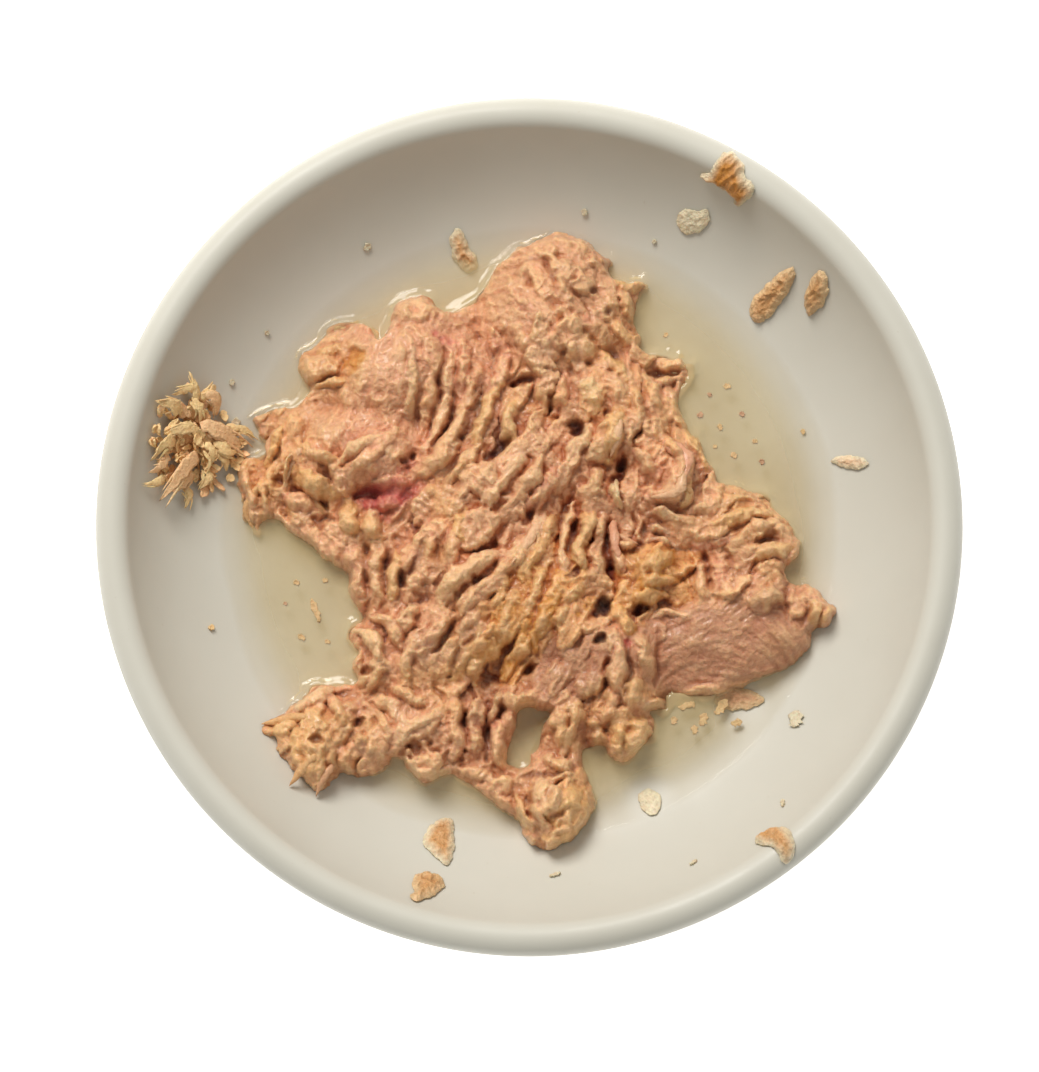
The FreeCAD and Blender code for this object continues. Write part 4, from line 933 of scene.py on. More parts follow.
class Heap:
    """The heap as a height, a tone and fibres on a plan."""

    PITCH = 0.27
    MARGIN = 3.0  # how far the plan goes past the frame's heap
    SINK = 1.7  # how far below the frame's heap the bed lies that the ropes lie on
    COVER = 0.85  # how much of its own tone a rope or a flake shows
    DRAWN_SLANT = 1 / math.tan(CAMERA_SLANT)

    def __init__(self):
        low, high = (np.array(corner)[:2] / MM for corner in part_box("food_heap"))
        self.plan = Plan(low - self.MARGIN, high + self.MARGIN, self.PITCH)
        coarse = Plan(low - self.MARGIN, high + (self.MARGIN + 1.0), 1.0)
        height, found = food_height("food_heap", coarse)
        soft_found = coarse.blur(found, 1.3)
        soft = coarse.blur(height * found, 1.3) / np.maximum(soft_found, 0.02)
        floor = dish_height(np.hypot(coarse.x, coarse.y)) + 1.0
        soft = np.maximum(np.where(found + soft_found > 0.1, soft, floor), floor)
        plan = self.plan
        self.form = plan.blur(coarse.sample(soft, plan.x, plan.y), 0.8)
        self.floor = dish_height(np.hypot(plan.x, plan.y)) + 0.3
        # Features are laid by a plan that wavers, so that no edge is straight.
        self.wavy_x = plan.x + 0.60 * rough(plan.x, plan.y, 3.8, 11)
        self.wavy_y = plan.y + 0.60 * rough(plan.x, plan.y, 3.8, 15)
        self.height = self.form - self.SINK
        self.tone = np.ones(plan.x.shape + (3,)) * TONES["tan"]
        self.fibres()

    def settle(self, places):
        """Places on the drawing brought down or up the slant onto the food."""
        places = trued(places)
        above = self.plan.sample(self.form, *places.T) - WELL_FACE - DRAWN_AT
        places[:, 1] -= above * self.DRAWN_SLANT
        return places

    def path(self, line):
        """The smooth path on the food through the places of a line on the drawing."""
        return smooth_path(self.settle(pairs(line)), 6)

    def tones_at(self, places):
        """The heap's tones at some places."""
        return np.stack([self.plan.sample(self.tone[..., k], *places.T) for k in range(3)], 1)

    def stain(self, tone, share, part=...):
        """Mixes a tone into the heap's own by a share at each place of a part of the plan."""
        share = share[..., None]
        self.tone[part] = self.tone[part] * (1 - share) + np.array(tone) * share

    def fibres(self):
        """The way the fibres run, blended from the places where it is given."""
        plan = self.plan
        east, north = 0, 0
        for x, y, bearing, reach in FIBRE_RUN:
            (px, py), = self.settle([(x, y)])
            gap = (plan.x - px) ** 2 + (plan.y - py) ** 2
            weight = np.exp(-gap / (1.1 * reach) ** 2) + 1e-5
            east = east + weight * math.cos(2 * math.radians(bearing))
            north = north + weight * math.sin(2 * math.radians(bearing))
        turn = 0.5 * np.arctan2(north, east) + 0.25 * noise(plan.x, plan.y, 5.0, 21)
        self.run_x, self.run_y = np.cos(turn), np.sin(turn)

    def combed(self, cell, length, seed):
        """Noise drawn out along the fibres, from about -1 to 1."""
        plan = self.plan
        grain = noise(plan.x, plan.y, cell, seed)
        total = grain.copy()
        step = 0.6 * cell
        for side in (1, -1):
            x, y = plan.x.copy(), plan.y.copy()
            last_x, last_y = side * self.run_x, side * self.run_y
            for _ in range(int(length / step)):
                x, y = x + step * last_x, y + step * last_y
                next_x, next_y = plan.sample(self.run_x, x, y), plan.sample(self.run_y, x, y)
                flip = np.sign(next_x * last_x + next_y * last_y)
                last_x, last_y = next_x * flip, next_y * flip
                total += plan.sample(grain, x, y)
        return total / total.std() / 1.6

    def patch(self, x, y, length, width, bearing):
        """From 1 at a place to 0 at the edge of an oval round it."""
        (px, py), = self.settle([(x, y)])
        turn = math.radians(bearing)
        u = (self.wavy_x - px) * math.cos(turn) + (self.wavy_y - py) * math.sin(turn)
        v = (self.wavy_y - py) * math.cos(turn) - (self.wavy_x - px) * math.sin(turn)
        return np.clip(1 - (u / length) ** 2 - (v / width) ** 2, 0, 1)

    def near_path(self, places, reach):
        """The part of the plan near a path, the distance to it there and the share along it."""
        part = self.plan.window(places, reach)
        x, y = self.wavy_x[part], self.wavy_y[part]
        gap = np.full(x.shape, np.inf)
        share = np.zeros(x.shape)
        count = len(places) - 1
        for n, (start, end) in enumerate(zip(places, places[1:])):
            run = end - start
            along = (x - start[0]) * run[0] + (y - start[1]) * run[1]
            along = np.clip(along / (run @ run + 1e-9), 0, 1)
            away = np.hypot(x - start[0] - along * run[0], y - start[1] - along * run[1])
            nearer = away < gap
            gap = np.where(nearer, away, gap)
            share = np.where(nearer, (n + along) / count, share)
        return part, gap, share

    def heap_up(self, part, top, tone, cover):
        """Lays something on a part of the plan, with its tone wherever it comes out on top."""
        over = top > self.height[part]
        self.height[part] = np.maximum(self.height[part], top)
        self.stain(tone, np.where(over, cover, 0) * self.COVER, part)

    def lay_rope(self, places, half, rise, tone, seed):
        """Lays a rope of flesh on the heap: round in section, uneven, with narrower ends."""
        part, gap, share = self.near_path(places, 1.6 * half + 0.8)
        plan_x, plan_y = self.plan.x[part], self.plan.y[part]
        wave = rough(share * 6.0 + seed * 3.7, share * 0, 1.6, 31, 2)
        ends = 0.55 + 0.45 * np.sqrt(np.clip(4.4 * share * (1 - share), 0, 1))
        width = half * (1 + 0.28 * wave) * ends
        gap = gap + 0.22 * half * rough(plan_x, plan_y, 2.0, 37, 3)
        across = np.clip(gap / width, 0, 1)
        crown = rise * (1 + 0.25 * noise(share * 4.0 + seed * 2.3, share * 0, 1.0, 32))
        crown = crown * (0.35 + 0.65 * np.clip(5 * share * (1 - share), 0, 1))
        crown = crown * (1 + 0.16 * rough(plan_x, plan_y, 2.4, 35, 2))
        top = self.form[part] - self.SINK + crown * (1 - across**2.6) ** 0.62 * 1.25 - 0.15
        top = np.where(across < 1, top, -np.inf)
        self.heap_up(part, top, tone, smooth(1 - across, 0, 0.35))

    def lay_flake(self, x, y, length, width, turn, rise, tilt, tone, seed):
        """Lays a torn flake: one long side is buried, the other stands up with a ragged edge."""
        plan = self.plan
        part = plan.window(np.array([[x, y]]), 0.65 * max(length, width) + 0.8)
        px, py = self.wavy_x[part] - x, self.wavy_y[part] - y
        u = 2 * (px * math.cos(turn) + py * math.sin(turn)) / length
        v = 2 * (py * math.cos(turn) - px * math.sin(turn)) / width
        frayed = 0.30 * rough(plan.x[part], plan.y[part], 2.2, seed, 3)
        inside = 1 - np.abs(u) ** 2.6 - np.abs(v) ** 2.2 + frayed
        side = np.clip(inside / 0.85, 0, 1)
        wrinkle = 1 - 0.35 * np.abs(noise(3.0 * u + seed, 0.8 * v, 1.0, 36))
        shape = (1.35 * rise * wrinkle + tilt * v) * np.sqrt(1 - (1 - side) ** 2) - 0.15
        form = plan.at(self.form, x, y)
        bed = min(plan.at(self.height, x, y) - 0.5, form - self.SINK + 1.8)
        slope = self.form[part] - form
        top = np.where(inside > 0, bed + slope + shape, -np.inf)
        edge_light = 1 + 0.10 * v * (1 - side)
        self.heap_up(part, top, np.array(tone) * edge_light[..., None], smooth(inside, 0, 0.25))

    def cut_groove(self, places, half, depth, tone):
        """Cuts a groove into the heap and paints shade into it with a dark tone."""
        part, gap, share = self.near_path(places, 2.0 * half + 0.6)
        ends = 0.4 + 0.6 * np.sqrt(np.clip(4 * share * (1 - share), 0, 1))
        across = np.clip(gap / (1.35 * half * ends), 0, 1)
        cut = (1 - across**2) ** 2
        uneven = 0.75 + 0.5 * noise(self.wavy_x[part], self.wavy_y[part], 1.6, 33)
        self.height[part] -= 0.75 * depth * cut * ends * uneven
        # Painted shade in the groove.
        self.stain(tone, cut**1.2 * ends * 0.6, part)


def tint(tone, share):
    """A tone made lighter or darker by a share."""
    return np.array(tone) * (1 + share)


def raise_folds(heap, mound, slab):
    """Swells the heap, and folds it along its fibres where it is neither mound nor slab."""
    plan = heap.plan
    heap.height += 1.0 * rough(plan.x, plan.y, 5.0, 51, 2) * (1 - 0.6 * slab)
    loose = (1 - 0.85 * mound) * (1 - 0.9 * slab)
    long_folds = np.abs(heap.combed(3.6, 11.0, 53))
    short_folds = np.abs(heap.combed(1.7, 6.0, 55))
    heap.height += loose * (1.6 * long_folds**0.8 + 0.40 * short_folds**0.8 - 1.0)
    heap.height += 1.1 * mound + 1.2 * slab


def lay_flakes(heap, mound, slab):
    """Lays torn flakes all over the heap along its fibres, but few on the mound and the slab."""
    plan = heap.plan
    chance = np.random.default_rng(61)
    spots = [
        (column + chance.uniform(-1.2, 1.2), row + chance.uniform(-1.2, 1.2))
        for row in np.arange(-56, 57, 5.0) for column in np.arange(-53, 56, 5.0)
    ]
    for n in chance.permutation(len(spots)):
        x, y = spots[n]
        slim = chance.random() < 0.5
        length = chance.uniform(6.0, 12.0)
        width = chance.uniform(2.6, 4.0) if slim else chance.uniform(4.0, 7.0)
        rise, tilt = chance.uniform(0.7, 1.7), chance.uniform(-1.0, 1.0)
        shade, lot = chance.uniform(-0.10, 0.13), int(chance.integers(1000))
        turn = math.atan2(plan.at(heap.run_y, x, y), plan.at(heap.run_x, x, y))
        turn += chance.normal(0, 0.38)
        if chance.random() < 0.9 * plan.at(slab, x, y) + 0.75 * plan.at(mound, x, y):
            continue
        tone = tint(heap.tones_at(np.array([[x, y]]))[0], shade)
        heap.lay_flake(x, y, length, width, turn, rise, tilt, tone, 300 + lot)


def lay_features(heap):
    """Gives the heap its own swellings, ropes, grooves and hollows."""
    plan = heap.plan
    for tone, x, y, length, width, bearing, rise in SWELLINGS:
        lift = smooth(heap.patch(x, y, length, width, bearing), 0, 1)
        heap.height += rise * lift
        heap.form = heap.form + 0.6 * rise * lift
        heap.stain(TONES[tone], 0.45 * lift)
    for lot, (tone, half, rise, line) in enumerate(ROPES):
        heap.lay_rope(heap.path(line), 1.25 * half, 1.0 + 1.25 * rise, TONES[tone], lot)
    for tone, half, depth, line in GROOVES:
        heap.cut_groove(heap.path(line), half, depth, TONES[tone])
    ragged = 0.45 * rough(plan.x, plan.y, 1.4, 34, 2)
    for tone, x, y, length, width, bearing, depth in HOLLOWS:
        dip = heap.patch(x, y, 1.3 * length, 1.3 * width, bearing) + ragged
        dip = smooth(dip, 0.1, 1.1)
        dip *= smooth(heap.patch(x, y, 2.0 * length, 2.0 * width, bearing), 0, 0.3)
        heap.height -= 0.95 * depth * dip
        # Painted shade in the hollow, where its tone is a dark one.
        heap.stain(TONES[tone], 0.8 * dip)


def roughen(heap, mound, slab):
    """Adds wrinkles, combed fibres, crinkles and small ledges, and returns the finest fibres."""
    plan = heap.plan
    wavy = heap.wavy_x, heap.wavy_y
    folds = 1 - np.abs(rough(*wavy, 2.6, 71, 2)) * 1.6
    heap.height += 0.42 * mound * folds
    rest = (1 - mound) * (1 - slab)
    heap.height += 0.22 * rest * (1 - 1.6 * np.abs(rough(*wavy, 1.8, 75, 2)))
    combed = heap.combed(0.55, 2.2, 81)
    fine = heap.combed(0.32, 2.4, 83)
    heap.height += combed * (0.10 * (1 - 0.5 * mound)) + 0.045 * fine + 0.05 * slab * combed
    heap.height += 0.05 * noise(plan.x, plan.y, 0.55, 91)

    crinkle = 1 - 1.6 * np.abs(rough(*wavy, 1.5, 95, 3))
    heap.height += (0.26 - 0.14 * slab) * crinkle + 0.07 * heap.combed(0.4, 1.4, 98)
    ledges = smooth(rough(*wavy, 1.1, 99, 2), -0.05, 0.12)
    heap.height += (0.20 - 0.10 * np.maximum(mound, slab)) * ledges
    return fine


def paint_light_and_shade_by_relief(heap, calm, fine):
    """Paints light and shade by relief: high places paler and creamier as if lit, the folds darker
    and redder as shade, the lowest places darker still, and the finest fibres a little paler on
    their tops. Fat is mixed in as random clouds.
    """
    plan = heap.plan
    close = heap.height - plan.blur(heap.height, 0.7)
    wide = heap.height - plan.blur(heap.height, 2.2)
    lit_crest = np.clip(0.5 * close / 0.4 + 0.5 * wide / 1.2, 0, 1)
    fold = smooth(-(0.45 * close / 0.45 + 0.55 * wide / 1.3), 0.05, 0.8)
    fold = fold * (0.66 + 0.50 * smooth(heap.patch(3, 2, 22, 24, 0), 0, 0.6))
    deep = smooth(-wide, 1.0, 2.3)
    fat = smooth(rough(plan.x, plan.y, 7.0, 43), 0.0, 0.8)
    heap.tone *= 1.09
    # Painted light: what stands high is made paler and creamier.
    heap.stain(linear(252, 212, 156), 0.5 * lit_crest)
    heap.stain(linear(232, 180, 112), 0.34 * fat * (1 - 0.8 * calm))
    # Painted shade: the folds darker and redder, the lowest places darker still.
    heap.tone *= 1 - fold[..., None] * (1 - np.array((0.72, 0.50, 0.38)))
    heap.tone *= 1 - deep[..., None] * (1 - np.array((0.42, 0.24, 0.18)))
    # Painted light: the finest fibres a little paler where they stand high.
    heap.tone *= 1 + 0.05 * fine[..., None]
    rosy = smooth(heap.patch(-25, 7.4, 7.5, 2.8, 12), 0, 0.6)
    heap.stain(linear(202, 96, 92), 0.6 * rosy)


def shape_heap():
    """Draws the whole heap, from its broad tones and folds down to its fine relief."""
    heap = Heap()
    plan = heap.plan
    for tone, x, y, length, width, bearing, share in BROAD_TONES:
        cover = smooth(heap.patch(x, y, 1.2 * length, 1.2 * width, bearing), 0, 0.6)
        heap.stain(TONES[tone], share * cover)
    clouds = 0.5 + 0.5 * rough(plan.x, plan.y, 6.0, 41)
    heap.stain(TONES["pale"], 0.3 * clouds)

    # The heap is smooth on the mound at its upper left, on its top and on the slab.
    mound = smooth(heap.patch(-24, 28, 18, 20, 70), 0, 0.4)
    mound = np.maximum(mound, smooth(heap.patch(3, 46, 15, 11, 0), 0, 0.4))
    slab = smooth(heap.patch(34, -21, 19, 10, 0), 0, 0.35)
    slab = np.maximum(slab, smooth(heap.patch(7, -24, 8, 6, 45), 0, 0.4))
    raise_folds(heap, mound, slab)
    lay_flakes(heap, mound, slab)
    lay_features(heap)
    fine = roughen(heap, mound, slab)
    paint_light_and_shade_by_relief(heap, np.maximum(mound, slab), fine)
    return heap


def make_heap(heap, material):
    """The heap's skin, cut off at its outline and closed underneath."""
    plan = heap.plan
    drop = (BROTH_LEVEL - WELL_FACE - DRAWN_AT) * heap.DRAWN_SLANT
    outline, gap = (
        smooth_path(trued(line), 6, closed=True) - (0, drop) for line in (HEAP_OUTLINE, HEAP_GAP)
    )
    reach = 4.0
    inside = np.minimum(plan.inside(outline, reach), -plan.inside(gap, reach))
    fray_x, fray_y = (0.55 * rough(plan.x, plan.y, 2.6, seed, 3) for seed in (101, 104))
    heap.inside = plan.sample(inside, plan.x + fray_x, plan.y + fray_y) + 0.25
    width = 1.7 + 0.9 * noise(plan.x, plan.y, 4.0, 107)
    share = np.clip(heap.inside / width, 0, 1)
    top = np.maximum(heap.height, heap.floor + 0.8)
    heap.skin = heap.floor + (top - heap.floor) * np.sqrt(1 - (1 - share) ** 2)
    points, faces, places = closed_sheet(plan, heap.inside, heap.skin, heap.floor, 4.0)
    tones = np.clip(heap.tones_at(places), 0.01, 1)
    piece = make_piece("heap_of_flakes", points, faces, tones)
    return finish_piece(piece, material, "flaked_meat", "food_heap")


# ------------------------------------------------------------------ the broth


def make_broth(heap, material):
    """The pool: drawn up where it meets the food and the wall, and clear at its edge."""
    reach, edge_radius = 57.0, 54.9
    draw_height, draw_reach = 0.62, 0.75  # how the broth is drawn up by the food
    climb_height, climb_reach = 0.55, 0.9  # and by the wall
    film_middle, film_width = 0.75, 0.24
    plan = Plan(np.full(2, -reach), np.full(2, reach), 0.4)
    radius, bearing = np.hypot(plan.x, plan.y), np.arctan2(plan.y, plan.x)
    uneven = noise(4.0 * np.cos(bearing), 4.0 * np.sin(bearing), 1.0, 111)
    inside = edge_radius + 0.5 * uneven - radius
    outside = -plan_to_plan(heap.plan, heap.inside, plan, -4.0)
    skin = plan_to_plan(heap.plan, heap.skin, plan, 0.0)
    wet = np.maximum(outside + 1.4, BROTH_LEVEL + 0.7 - skin)
    wet = np.where(outside < -4, -1.0, wet)
    bottom = dish_height(radius) + 0.05
    draw = draw_height * np.exp(-np.maximum(outside, 0) / draw_reach)
    climb = climb_height * np.exp(-np.maximum(inside, 0) / climb_reach)
    top = BROTH_LEVEL + draw + climb + 0.03 * noise(plan.x, plan.y, 6.0, 112)
    top = np.maximum(top, bottom + 0.03)
    points, faces, places = closed_sheet(plan, np.minimum(inside, wet), top, bottom, 3.0)
    depth = np.clip((BROTH_LEVEL - bottom) / 2.4, 0, 1)
    near = np.exp(-np.maximum(outside, 0) / 7.0)
    shade = 0.10 + 0.30 * smooth(inside, 0.2, 7.0) * depth + 0.20 * near * depth
    shade = shade * smooth(inside, -0.3, 1.5)
    # Loose flakes that stand in the pool come through it.
    for flake in ("flake_slab_edge", "flake_low_pale"):
        bearing, share = LOOSE_FLAKES[flake][:2]
        east, north = on_wall(bearing, share)(np.zeros(2), np.array(0.0))[:2]
        gap = np.hypot(plan.x - east, plan.y - north)
        shade = shade * (1 - 0.85 * np.exp(-((gap / 4.5) ** 4)))
    # Painted highlight: the film that the food draws up is made opaque where it faces the window,
    # so the window's reflection shows there, and it is clear elsewhere.
    lean_x, lean_y = np.gradient(plan.blur(outside, 0.6), plan.pitch)
    painted_glint = smooth(0.9 * lean_y - 0.45 * lean_x, 0.45, 0.95)
    painted_glint = painted_glint * smooth(noise(plan.x, plan.y, 5.0, 113), -0.6, 0.2)
    film = painted_glint * 0.8 * np.exp(-(((outside - film_middle) / film_width) ** 2))
    shade = np.maximum(shade, film * smooth(inside, 0, 1))
    values = plan.sample(shade, *places.T)
    low = points[:, 2] < plan.sample(top, *places.T) - 0.02
    values[low] = 0
    piece = make_piece("broth_pool", points, faces, shade=values)
    return finish_piece(piece, material, "broth", "broth")


def plan_to_plan(source, field, plan, otherwise):
    """A field of one plan at the places of another."""
    value = source.sample(field, plan.x, plan.y)
    high_x = source.low[0] + (source.columns - 1) * source.pitch
    high_y = source.low[1] + (source.rows - 1) * source.pitch
    beyond_x = (plan.x < source.low[0]) | (plan.x > high_x)
    beyond_y = (plan.y < source.low[1]) | (plan.y > high_y)
    return np.where(beyond_x | beyond_y, otherwise, value)


# ------------------------------------------------------------------ flakes


def flake_shell(length, width, thick, bend, frill, seed, along=12, around=10):
    """A thin pointed flake that lies along x: points in rings from tip to tip, and faces."""
    chance = np.random.default_rng(seed)
    wave = chance.uniform(-1, 1, (2, along + 1))
    points = [(-length / 2, 0, bend)]
    for n in range(1, along):
        t = 2 * n / along - 1
        half = 0.5 * width * (1 - abs(t) ** 2.2) ** 0.7 * (1 + frill * wave[0, n])
        middle = 0.12 * width * wave[1, n]
        for k in range(around):
            turn = 2 * math.pi * k / around
            across, up = math.cos(turn), math.sin(turn)
            edge = across * half
            curl = 0.18 * width * across * across
            points.append((t * length / 2, middle + edge, bend * t * t + curl + up * thick / 2))
    points.append((length / 2, 0, bend))
    return np.array(points, dtype=float), ring_faces(along - 1, around)


def wall_place(bearing, climb, lift):
    """A place on the dish's inner face, so far up its wall, and its normal."""
    span = WALL_RADIUS * WALL_SWEEP
    lean = np.clip(climb, 0, span) / WALL_RADIUS
    radius = WELL_RADIUS + WALL_RADIUS * np.sin(lean) + np.minimum(climb, 0)
    height = WELL_FACE + WALL_RADIUS * (1 - np.cos(lean))
    over = np.maximum(climb - span, 0) / LIP
    on_lip = WALL_SWEEP - over
    radius = np.where(over > 0, LIP_OUT - LIP * np.sin(on_lip), radius)
    height = np.where(over > 0, LIP_HEIGHT + LIP * np.cos(on_lip), height)
    lean = np.where(over > 0, on_lip, lean)
    east, north = np.cos(bearing), np.sin(bearing)
    normal = np.stack([-np.sin(lean) * east, -np.sin(lean) * north, np.cos(lean)], -1)
    place = np.stack([radius * east, radius * north, height], -1)
    return place + normal * np.asarray(lift)[..., None]


# A loose flake on the dish: bearing from the dish's middle, share of the way up the wall,
# thickness, tones of its middle and its edge, and its outline seen from above round its middle.
LOOSE_FLAKES = {
    "flake_orange": (103.3, 0.30, 1.5, "ochre", "film", (
        -0.9, 3.9, -2.0, 2.5, -1.8, -0.3, -0.6, -2.5, 1.2, -3.5, 2.7, -2.5, 2.5, -0.7, 1.1, 0.8,
        0.3, 2.9)),
    "flake_gold": (59.9, 1.0, 1.3, "gold", "film", (
        -0.2, 4.4, -2.2, 2.9, -2.9, 1.7, -4.8, 1.1, -4.3, 0.3, -2.3, -0.3, -1.0, -1.5, 0.8, -2.9,
        1.1, -4.4, 2.3, -4.3, 4.5, -2.0, 4.2, -0.7, 2.9, 0.9, 2.6, 2.2, 0.9, 4.0)),
    "flake_pale": (62.2, 0.65, 0.7, "film", "film", (
        -2.6, 0.6, -1.5, 1.8, 0.4, 1.3, 2.3, 1.6, 2.8, 0.1, 1.6, -1.5, -0.4, -1.9, -2.1, -1.1)),
    "flake_long": (44.1, 0.565, 1.8, "ochre", "cream", (
        3.9, 4.6, 2.2, 4.1, -0.6, 2.1, -2.9, 0.4, -3.7, -1.7, -3.1, -3.4, -1.6, -4.1, 0.4, -2.6,
        2.3, 0.0, 3.7, 2.4)),
    "flake_short": (39.2, 0.79, 1.4, "ochre", "cream", (
        0.5, 3.2, -1.0, 2.1, -1.8, 0.0, -1.5, -2.1, -0.7, -3.3, 1.0, -2.1, 1.8, 0.0, 1.6, 2.1)),
    "flake_thin": (12.1, 0.49, 0.9, "pale", "film", (
        -3.1, 0.7, -1.0, 1.2, 1.5, 0.9, 3.1, -0.4, 2.0, -1.1, -0.5, -0.9, -2.0, -0.2)),
    "flake_curled": (-53.2, 1.0, 1.3, "ochre", "film", (
        -2.6, 2.2, -3.4, 1.0, -2.2, -0.5, -0.3, -1.4, 0.9, -2.1, 1.8, -3.6, 3.3, -2.1, 3.5, 0.3,
        2.4, 2.1, 0.0, 2.7)),
    "flake_tall": (-105.9, 0.45, 1.3, "ochre", "film", (
        1.2, 4.1, -1.2, 3.2, -2.5, 1.0, -2.7, -0.7, -1.2, -2.4, 1.0, -4.4, 2.2, -1.7, 2.5, 1.4,
        2.2, 3.2)),
    "flake_round": (-105.8, 0.79, 1.5, "ochre", "cream", (
        -1.2, 2.3, -2.3, 1.0, -1.9, -1.0, -2.6, -2.1, -1.4, -3.0, 1.2, -1.5, 3.0, 0.0, 2.8, 1.4,
        1.2, 2.3)),
    "flake_slab_edge": (-38.9, 0.17, 1.0, "tan", "cream", (
        -4.4, 2.8, -4.8, 0.7, -3.6, -1.3, 0.3, -1.1, 3.9, -0.3, 3.6, 0.9, 1.6, 2.1, -1.4, 3.1)),
    "flake_low_pale": (-66.0, 0.29, 0.6, "film", "film", (
        -1.0, 1.7, -1.8, 0.3, -1.0, -1.7, 0.9, -2.7, 1.8, -1.0, 2.0, 0.7, 0.3, 1.8)),
}


def on_wall(bearing, share):
    """A function that lays places drawn from above round a spot onto the dish's wall there."""
    turn, climb = math.radians(bearing), share * WALL_RADIUS * WALL_SWEEP
    radius = np.hypot(*wall_place(0.0, climb, 0.0)[:2])
    lean = max(math.cos(climb / WALL_RADIUS), 0.78 if share > 0.9 else 0)

    def lay(places, lift):
        outward = places[..., 0] * math.cos(turn) + places[..., 1] * math.sin(turn)
        sideways = places[..., 1] * math.cos(turn) - places[..., 0] * math.sin(turn)
        return wall_place(turn + sideways / radius, climb + outward / lean, lift)

    return lay


def make_loose_flake(seed, node, material):
    """A loose flake with a frayed edge, wrinkles, and ends that stand off the wall."""
    bearing, share, thick, tone, edge_tone, line = LOOSE_FLAKES[node]
    outline = smooth_path(pairs(line), 4, closed=True)
    plan = Plan(outline.min(0) - 1.2, outline.max(0) + 1.2, 0.15)
    inside = plan.inside(outline, 3.0)
    fray_x, fray_y = (0.22 * rough(plan.x, plan.y, 1.1, n, 3) for n in (seed, seed + 20))
    inside = plan.sample(inside, plan.x + fray_x, plan.y + fray_y) + 0.1
    share_in = np.clip(inside / 1.5, 0, 1)
    ridges = np.abs(rough(plan.x + 0.5 * plan.y, plan.y - 0.5 * plan.x, 1.5, seed + 1, 3))
    bottom = 0.10 + 0.25 * np.clip(1 - inside / 1.2, 0, 1)
    body = thick * (1 - (1 - share_in) ** 2) * (1 - 0.40 * np.clip(ridges, 0, 1))
    body = body * (1 + 0.20 * rough(plan.x, plan.y, 2.4, seed + 3, 2))
    points, faces, places = closed_sheet(plan, inside, bottom + np.maximum(body, 0.1), bottom, 0.7)
    near_edge = 1 - plan.sample(share_in, *places.T)[:, None]
    groove = np.clip(plan.sample(ridges, *places.T)[:, None], 0, 1)
    tones = np.array(TONES[tone]) * (1 - near_edge) + np.array(TONES[edge_tone]) * near_edge
    # Painted shade: the flake is darker in the grooves between its ridges.
    tones = tones * (1.08 - 0.22 * groove)
    placed = on_wall(bearing, share)(points[:, :2], points[:, 2])
    piece = make_piece(node + "_flesh", placed, faces, np.clip(tones, 0, 1))
    return finish_piece(piece, material, "flaked_meat", node)


def scatter_tree(kind, material):
    """Nodes that put a kind of flake on every point, turned, sized and toned as the point says."""
    tree = bpy.data.node_groups.new("scatter_" + kind.name, "GeometryNodeTree")
    for label, way, sort in (
        ("Geometry", "INPUT", "Geometry"),
        ("Size", "INPUT", "Float"),
        ("Uneven", "INPUT", "Float"),
        ("Seed", "INPUT", "Int"),
        ("Geometry", "OUTPUT", "Geometry"),
    ):
        tree.interface.new_socket(label, in_out=way, socket_type="NodeSocket" + sort)

    def add(sort, settings, sockets, output=0):
        """An output of a new node of a sort."""
        return add_node(tree, sort, settings, sockets).outputs[output]

    def carried(label):
        """The vector that each point carries under a label."""
        vector = {"data_type": "FLOAT_VECTOR"}
        return add("GeometryNodeInputNamedAttribute", vector, {"Name": label})

    given = add_node(tree, "NodeGroupInput", {}, {}).outputs
    shape = add("GeometryNodeObjectInfo", {}, {"Object": kind}, "Geometry")
    least, most = (
        add("ShaderNodeMath", {"operation": operation}, {0: given["Size"], 1: given["Uneven"]})
        for operation in ("SUBTRACT", "ADD")
    )
    chance = add("FunctionNodeRandomValue", {}, {2: least, 3: most, "Seed": given["Seed"]}, 1)
    own_size = {0: carried("size"), "Scale": chance}
    size = add("ShaderNodeVectorMath", {"operation": "SCALE"}, own_size)
    laid = add("GeometryNodeInstanceOnPoints", {}, {
        "Points": given["Geometry"], "Instance": shape, "Rotation": carried("turn"), "Scale": size,
    })
    real = add("GeometryNodeRealizeInstances", {}, {0: laid})
    painted = add("GeometryNodeSetMaterial", {}, {0: real, "Material": material})
    add_node(tree, "NodeGroupOutput", {}, {0: painted})
    return tree


